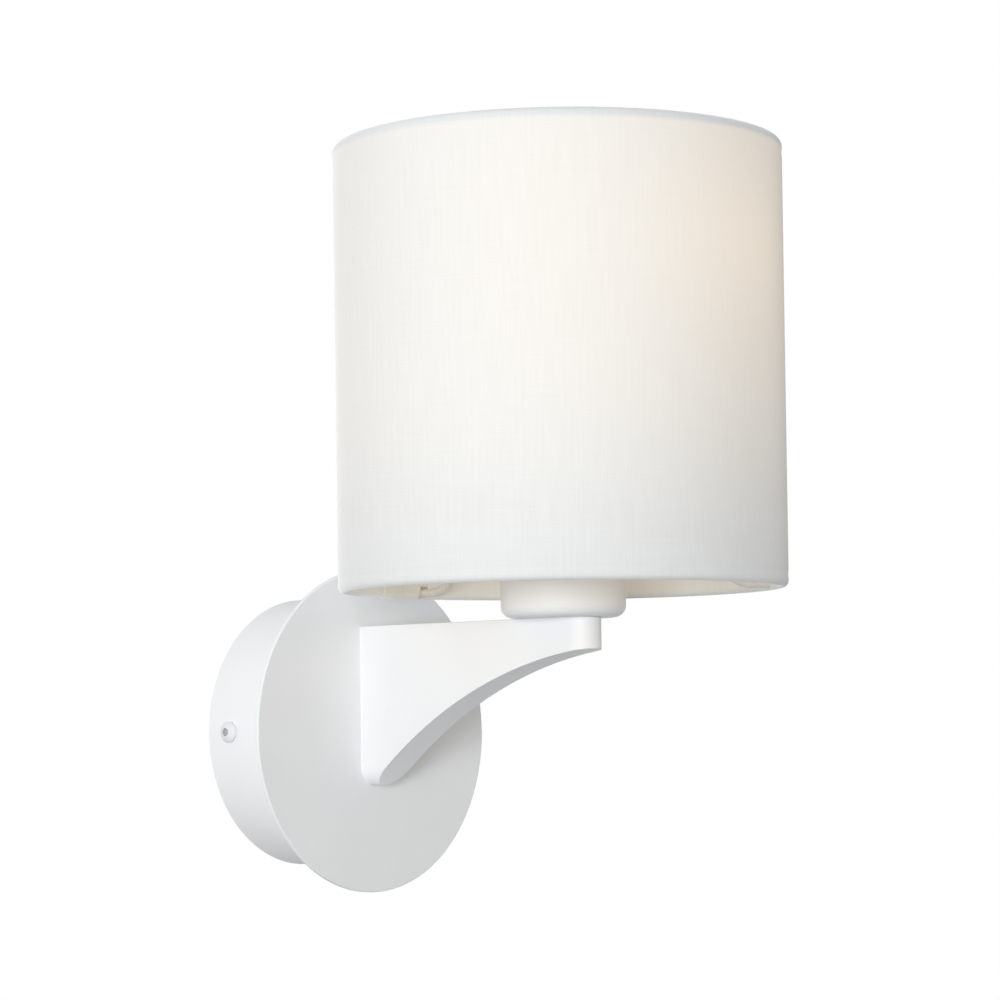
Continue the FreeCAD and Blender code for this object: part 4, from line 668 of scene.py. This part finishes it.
# Shade rings: a hub, a flange with finger hollows and a threaded bore

shadeRing = {
    "bore": 19.66, "hub": 22.5, "rim": 28.5, "flange": 3.0, "height": 6.0, "edge": 0.35, "corner": 0.4,
    "grips": 20, "gripDepth": 0.9, "gripRadius": 2.2,
    "grooveDepth": 0.7, "grooveInset": 0.3, "rows": 10, "runOut": 0.2, "segments": 240,
}


def makeShadeRing(name, node, seat, flangeUp, body):
    s = shadeRing
    gripCentre = s["rim"] + s["gripRadius"] - s["gripDepth"]

    def gripped(inset, height):
        def ring(angle):
            step = fullTurn / s["grips"]
            off = (angle + step / 2) % step - step / 2
            across = gripCentre * math.sin(off)
            radius = s["rim"] - inset
            reach = s["gripRadius"] + inset
            if abs(across) < reach:
                hollow = gripCentre * math.cos(off) - math.sqrt(reach ** 2 - across ** 2)
                radius = min(radius, hollow)
            return radius, height
        return ring
    edge, corner, inset = s["edge"], s["corner"], s["grooveInset"]
    low, high = (s["height"] - s["flange"], s["height"]) if flangeUp else (0.0, s["flange"])
    flange = [gripped(edge, low), gripped(0, low + edge), gripped(0, high - edge), gripped(edge, high)]
    if flangeUp:
        outside = [plain(s["hub"] - edge, 0), plain(s["hub"], edge), plain(s["hub"], low - corner),
                   plain(s["hub"] + corner, low)] + flange
    else:
        outside = flange + [plain(s["hub"] + corner, high), plain(s["hub"], high + corner),
                            plain(s["hub"], s["height"] - edge), plain(s["hub"] - edge, s["height"])]
    lip = s["bore"] + s["grooveDepth"]
    rings = [plain(lip, 0)] + outside + [plain(lip, s["height"])]
    rings += reversed(threadRings(lip, s["grooveDepth"], skirt["pitch"], inset, s["height"] - inset,
                                  "round", s["rows"], s["runOut"]))
    mesh = meshFrom(name, *spun(rings, s["segments"], standing(*lampLine[:2], seat), True))
    keepPiece(name, mesh, "mouldedThermoplasticWhite", body, "white_thermoplastic", node)


makeSkirt()
makeShadeRing("lowerShadeRing", "lower_shade_ring", 60.4, True, "fixture")
makeShadeRing("upperShadeRing", "upper_shade_ring", 68.2, False, "clamp_ring")
print("lampholder threads made")

# Screw shell and the bulb's cap, rolled with the same round thread

rolledThread = {"pitch": 3.629, "sheet": 0.35, "rows": 14, "runOut": 0.5, "segments": 120}

bulbCap = {
    "crest": 13.0, "depth": 1.0, "foot": 75.9, "rim": 95.9, "threadInset": 2.2,
    "shoulder": ((11.0, 0), (11.8, 1.6)),  # radius, height over the foot
    "lip": ((12.0, 1.8), (12.6, 1.2), (13.0, 0.9), (13.0, 0)),  # radius, depth under the rim
    "floor": 10.6, "wallLow": 2.4, "wallHigh": 2,  # its inside
}


def makeBulbCap():
    c, t = bulbCap, rolledThread
    foot, rim, inset, sheet = c["foot"], c["rim"], c["threadInset"], t["sheet"]
    wall = c["crest"] - c["depth"] - sheet
    rings = [foot] + [plain(radius, foot + rise) for radius, rise in c["shoulder"]]
    rings += threadRings(c["crest"], c["depth"], t["pitch"], foot + inset, rim - inset, "round", t["rows"],
                         t["runOut"])
    rings += [plain(radius, rim - depth) for radius, depth in c["lip"]]
    rings += [plain(c["crest"] - sheet, rim), plain(wall, rim - c["wallHigh"]),
              plain(wall, foot + c["wallLow"]), plain(c["floor"], foot + sheet), foot + sheet]
    mesh = meshFrom("bulbCapThreaded", *spun(rings, t["segments"], onLamp))
    keepPiece("bulbCapThreaded", mesh, "nickelPlatedAluminium", "bulb", "cap_metal", "bulb_screw_cap")


screwShell = {
    "crest": 14.0, "depth": 0.85, "low": 60.6, "high": 85.6, "threadStart": 7, "threadStop": 1.2,
    "foot": 13.5, "neck": 13.6, "mouth": 14.3, "neckRise": 0.4,  # radii inside, and the neck over the thread
}


def makeScrewShell():
    s, t = screwShell, rolledThread
    foot, rim, sheet = s["low"], s["high"], t["sheet"]
    low, high = foot + s["threadStart"], rim - s["threadStop"]
    neckHeight = high + s["neckRise"]
    inside, outside = (threadRings(crest, s["depth"], t["pitch"], low, high, "round", t["rows"], t["runOut"])
                       for crest in (s["crest"], s["crest"] + sheet))
    rings = [plain(s["foot"], foot)] + inside
    rings += [plain(s["neck"], neckHeight), plain(s["mouth"], rim), plain(s["mouth"] + sheet, rim),
              plain(s["neck"] + sheet, neckHeight)]
    rings += list(reversed(outside)) + [plain(s["foot"] + sheet, foot)]
    mesh = meshFrom("screwShellRolled", *spun(rings, t["segments"], onLamp, True))
    keepPiece("screwShellRolled", mesh, "turnedBrass", "fixture", "brass", "screw_shell")


makeBulbCap()
makeScrewShell()
print("bulb cap and screw shell made")

# Spider welds: a small bead at each end of each arm

armDirections = (84, 204, 324)  # degrees about the lamp's axis
welds = {"inner": (32.0, 67.3, 1.0), "outer": (70.95, 47.1, 0.95),  # radius, height, size
         "bead": (1.5, 1.9, 1.3), "lumps": 0.06, "waves": (5, 4, 3)}


def makeWelds():
    points, faces = [], []
    bead = bmesh.new()
    bmesh.ops.create_icosphere(bead, subdivisions=3, radius=1)
    beadPoints = [vertex.co.copy() for vertex in bead.verts]
    beadFaces = [[vertex.index for vertex in face.verts] for face in bead.faces]
    bead.free()
    for direction in armDirections:
        spin = Matrix.Rotation(math.radians(direction), 4, "Z")
        for radius, height, size in (welds["inner"], welds["outer"]):
            first = len(points)
            for point in beadPoints:
                x, y, z = (axis * count for axis, count in zip(point, welds["waves"]))
                lump = 1 + welds["lumps"] * math.sin(x + direction) * math.sin(y + z)
                local = Vector(mm(*(size * lump * axis * reach for axis, reach in zip(point, welds["bead"]))))
                points.append(lampAxis + spin @ (local + Vector(mm(radius, 0, height))))
            faces += [tuple(first + corner for corner in face) for face in beadFaces]
    mesh = meshFrom("spiderWelds", points, faces)
    keepPiece("spiderWelds", mesh, "coatedWireWhite", "shade", "white_wire")


makeWelds()
print("spider welds made")

# Linen: one sheet, lapped at the back, rolled over both rim wires and turned down inside

cloth = {
    "bottomRadius": 74.5, "topRadius": 75.0, "bottom": 45.0, "height": 148.4, "thickness": 0.5,
    "roll": 2.1,  # outside of the roll to the wire's middle
    "hem": 9.0, "lap": 9.0, "lapDirection": 98.0, "lapStep": 0.55,
    "lapRise": 0.25,  # in lap widths, the stretch before the lap over which it climbs
    "dip": 0.16, "dipPlace": 2.0, "dipWidth": 0.8,  # where the sheet leaves the wire and lies on the drum
    "notchHalf": 1.65, "notchRows": range(3, 8),  # the rows that an arm goes through
    "hemRows": 4, "rollRows": 12, "drumRows": 40, "columns": 180, "lapColumns": 6,
    "nearRim": [0, 0.8, 1.6, 2.4, 3.2, 4.2], "drumFrom": 5,  # heights of rows off a wire's middle
    "smoothUpTo": 80,  # degrees, so that the roll shows no edge
}


def clothProfile():
    # (radius, height, outward normal) from the lower hem's edge, round the sheet, to the upper hem's edge
    c = cloth
    half = c["thickness"] / 2
    turn = c["roll"] - half
    lowWire = (c["bottomRadius"] - c["roll"], c["bottom"] + c["roll"])
    highWire = (c["topRadius"] - c["roll"], c["bottom"] + c["height"] - c["roll"])
    spots = []
    for step in range(c["hemRows"] + 1):
        spots.append((lowWire[0] - turn, lowWire[1] + c["hem"] * (1 - step / c["hemRows"]), (-1, 0)))
    for step in range(1, c["rollRows"]):
        angle = math.pi + math.pi * step / c["rollRows"]
        spots.append((lowWire[0] + turn * math.cos(angle), lowWire[1] + turn * math.sin(angle),
                      (math.cos(angle), math.sin(angle))))
    span = highWire[1] - lowWire[1]
    start, count = c["drumFrom"], c["drumRows"]
    heights = c["nearRim"] + [start + (span - 2 * start) * step / count for step in range(count + 1)]
    heights += [span - height for height in reversed(c["nearRim"])]
    for height in heights:
        share = height / span
        radius = c["bottomRadius"] + (c["topRadius"] - c["bottomRadius"]) * share - half
        fromRim = min(height, span - height)
        radius -= c["dip"] * math.exp(-((fromRim - c["dipPlace"]) / c["dipWidth"]) ** 2)
        spots.append((radius, lowWire[1] + height, (1, 0)))
    for step in range(1, c["rollRows"]):
        angle = math.pi * step / c["rollRows"]
        spots.append((highWire[0] + turn * math.cos(angle), highWire[1] + turn * math.sin(angle),
                      (math.cos(angle), math.sin(angle))))
    for step in range(c["hemRows"] + 1):
        spots.append((highWire[0] - turn, highWire[1] - c["hem"] * step / c["hemRows"], (-1, 0)))
    return spots


def makeLinenSheet():
    c = cloth
    spots = clothProfile()
    lapAngle = math.degrees(c["lap"] / c["bottomRadius"])
    start = c["lapDirection"] - lapAngle / 2
    end = start + 360
    notch = math.degrees(c["notchHalf"] / (c["bottomRadius"] - 2 * c["roll"]))
    notchEdges = [direction + side * notch for direction in armDirections for side in (-1, 1)]
    angles = [start + 360 / c["columns"] * step for step in range(c["columns"] + 1)]
    angles += [end + lapAngle * step / c["lapColumns"] for step in range(1, c["lapColumns"] + 1)]
    for edge in notchEdges:
        turned = start + (edge - start) % 360
        angles.append(turned)
        if turned < start + lapAngle:
            angles.append(turned + 360)
    angles = sorted(set(round(angle, 5) for angle in angles))
    along = [0.0]
    for before, after in zip(spots, spots[1:]):
        along.append(along[-1] + math.hypot(after[0] - before[0], after[1] - before[1]))
    points, faces, mapping = [], [], []
    for angle in angles:
        spin = math.radians(angle)
        past = (angle - end) / lapAngle
        lift = c["lapStep"] * min(1.0, max(0.0, past / c["lapRise"] + 1))
        for radius, height, normal in spots:
            far, high = radius + lift * normal[0], height + lift * normal[1]
            points.append(lampAxis + Vector(mm(far * math.cos(spin), far * math.sin(spin), high)))
    rows = len(spots)
    for column in range(len(angles) - 1):
        middle = (angles[column] + angles[column + 1]) / 2
        atArm = any(abs((middle - direction + 180) % 360 - 180) < notch for direction in armDirections)
        for row in range(rows - 1):
            if atArm and row in c["notchRows"]:
                continue
            corners = (column, row), (column + 1, row), (column + 1, row + 1), (column, row + 1)
            faces.append(tuple(across * rows + up for across, up in corners))
            mapping.append([(math.radians(angles[across]) * mm(c["bottomRadius"]), mm(along[up]))
                            for across, up in corners])
    mesh = bpy.data.meshes.new("shadeLinen")
    mesh.from_pydata(points, [], faces)
    layer = mesh.uv_layers.new(name="clothMap")
    for face, corners in zip(mesh.polygons, mapping):
        for loop, spot in zip(face.loop_indices, corners):
            layer.data[loop].uv = spot
    mesh.update()
    piece = keepPiece("shadeLinen", mesh, "linenPlainWoven", "shade", "linen", "shade_fabric")
    mesh.set_sharp_from_angle(angle=math.radians(c["smoothUpTo"]))
    thickness = piece.modifiers.new("clothThickness", "SOLIDIFY")
    thickness.thickness = mm(c["thickness"])
    thickness.offset = 0


makeLinenSheet()

# Studio: an even white surround, a plain pale floor where a room has it, and one soft lamp at the left

studio = {
    "level": 0.78,  # of the surround as a light, on the level
    "lean": (0.13, 0.32, -0.28),  # how much brighter the surround is towards each axis
    "floorBelow": 1.6,
    "floorRadius": 5.0,
    "floorCorners": 64,
    "floorColour": ("#A7A7A6", "#AEAEAD"),  # pale paper, matt, with broad faint clouds
    "floorClouds": (200, 2),
    "floorShown": 1.75,  # how bright its paper is where it is looked at: white, with the light's shadow
    "lamps": {"leftSoftbox": ((-1.732, -1.1, 0.06), 0.6, 25.8)},  # place, width, watts
    "aim": (0, -0.1, 0.06),
}


def lookedAt(tree):
    # 1 where the camera, gloss or glass sees a surface, 0 where it only gives or bounces light
    path = addNode(tree, "LightPath").outputs
    seen = path["Is Camera Ray"]
    for ray in ("Is Glossy Ray", "Is Transmission Ray"):
        seen = addNode(tree, "Math", {"operation": "MAXIMUM"}, {0: seen, 1: path[ray]}).outputs[0]
    return seen


def makeSurround():
    world = bpy.data.worlds.new("studioSurround")
    bpy.context.scene.world = world
    world.use_nodes = True
    tree = world.node_tree
    tree.nodes.clear()
    towards = addNode(tree, "TexCoord").outputs["Generated"]
    leaning = addNode(tree, "VectorMath", {"operation": "DOT_PRODUCT"}, {0: towards, 1: studio["lean"]})
    level = addNode(tree, "Math", {"operation": "ADD"}, {0: leaning.outputs["Value"], 1: studio["level"]})
    # where it is looked at, its strength is 1, which is white
    shown = addNode(tree, "MapRange", None,
                    {"Value": lookedAt(tree), "To Min": level.outputs[0], "To Max": 1.0})
    soft = addNode(tree, "Background", None, {"Color": (1, 1, 1, 1), "Strength": shown.outputs["Result"]})
    addNode(tree, "OutputWorld", None, {"Surface": soft.outputs["Background"]})


def makeFloor():
    corners, radius = studio["floorCorners"], studio["floorRadius"]
    points = [(radius * math.cos(fullTurn * step / corners), radius * math.sin(fullTurn * step / corners),
               -studio["floorBelow"]) for step in range(corners)]
    floor = bpy.data.objects.new("studioFloor", meshFrom("studioFloor", points, [tuple(range(corners))]))
    bpy.context.scene.collection.objects.link(floor)
    material, tree, place = startMaterial("studioFloorPaper")
    dark, light = (hexColour(tone) for tone in studio["floorColour"])
    clouds = cloudPattern(tree, place, *studio["floorClouds"])
    paper = addNode(tree, "Mix", {"data_type": "RGBA"}, {mixShare: clouds, mixFirst: dark, mixSecond: light})
    white = (*[studio["floorShown"]] * 3, 1.0)
    shown = addNode(tree, "Mix", {"data_type": "RGBA"},
                    {mixShare: lookedAt(tree), mixFirst: paper.outputs[mixResult], mixSecond: white})
    matt = addNode(tree, "BsdfDiffuse", None, {"Color": shown.outputs[mixResult]})
    addNode(tree, "OutputMaterial", None, {"Surface": matt.outputs["BSDF"]})
    floor.data.materials.append(material)


def makeLamps():
    for name, (spot, width, power) in studio["lamps"].items():
        data = bpy.data.lights.new(name, "AREA")
        data.shape = "SQUARE"
        data.size = width
        data.energy = power
        lamp = bpy.data.objects.new(name, data)
        lamp.location = spot
        lamp.rotation_mode = "QUATERNION"
        lamp.rotation_quaternion = (Vector(studio["aim"]) - Vector(spot)).to_track_quat("-Z", "Y")
        bpy.context.scene.collection.objects.link(lamp)


makeSurround()
makeFloor()
makeLamps()
bpy.context.scene.view_settings.view_transform = "Standard"
print("studio lit")
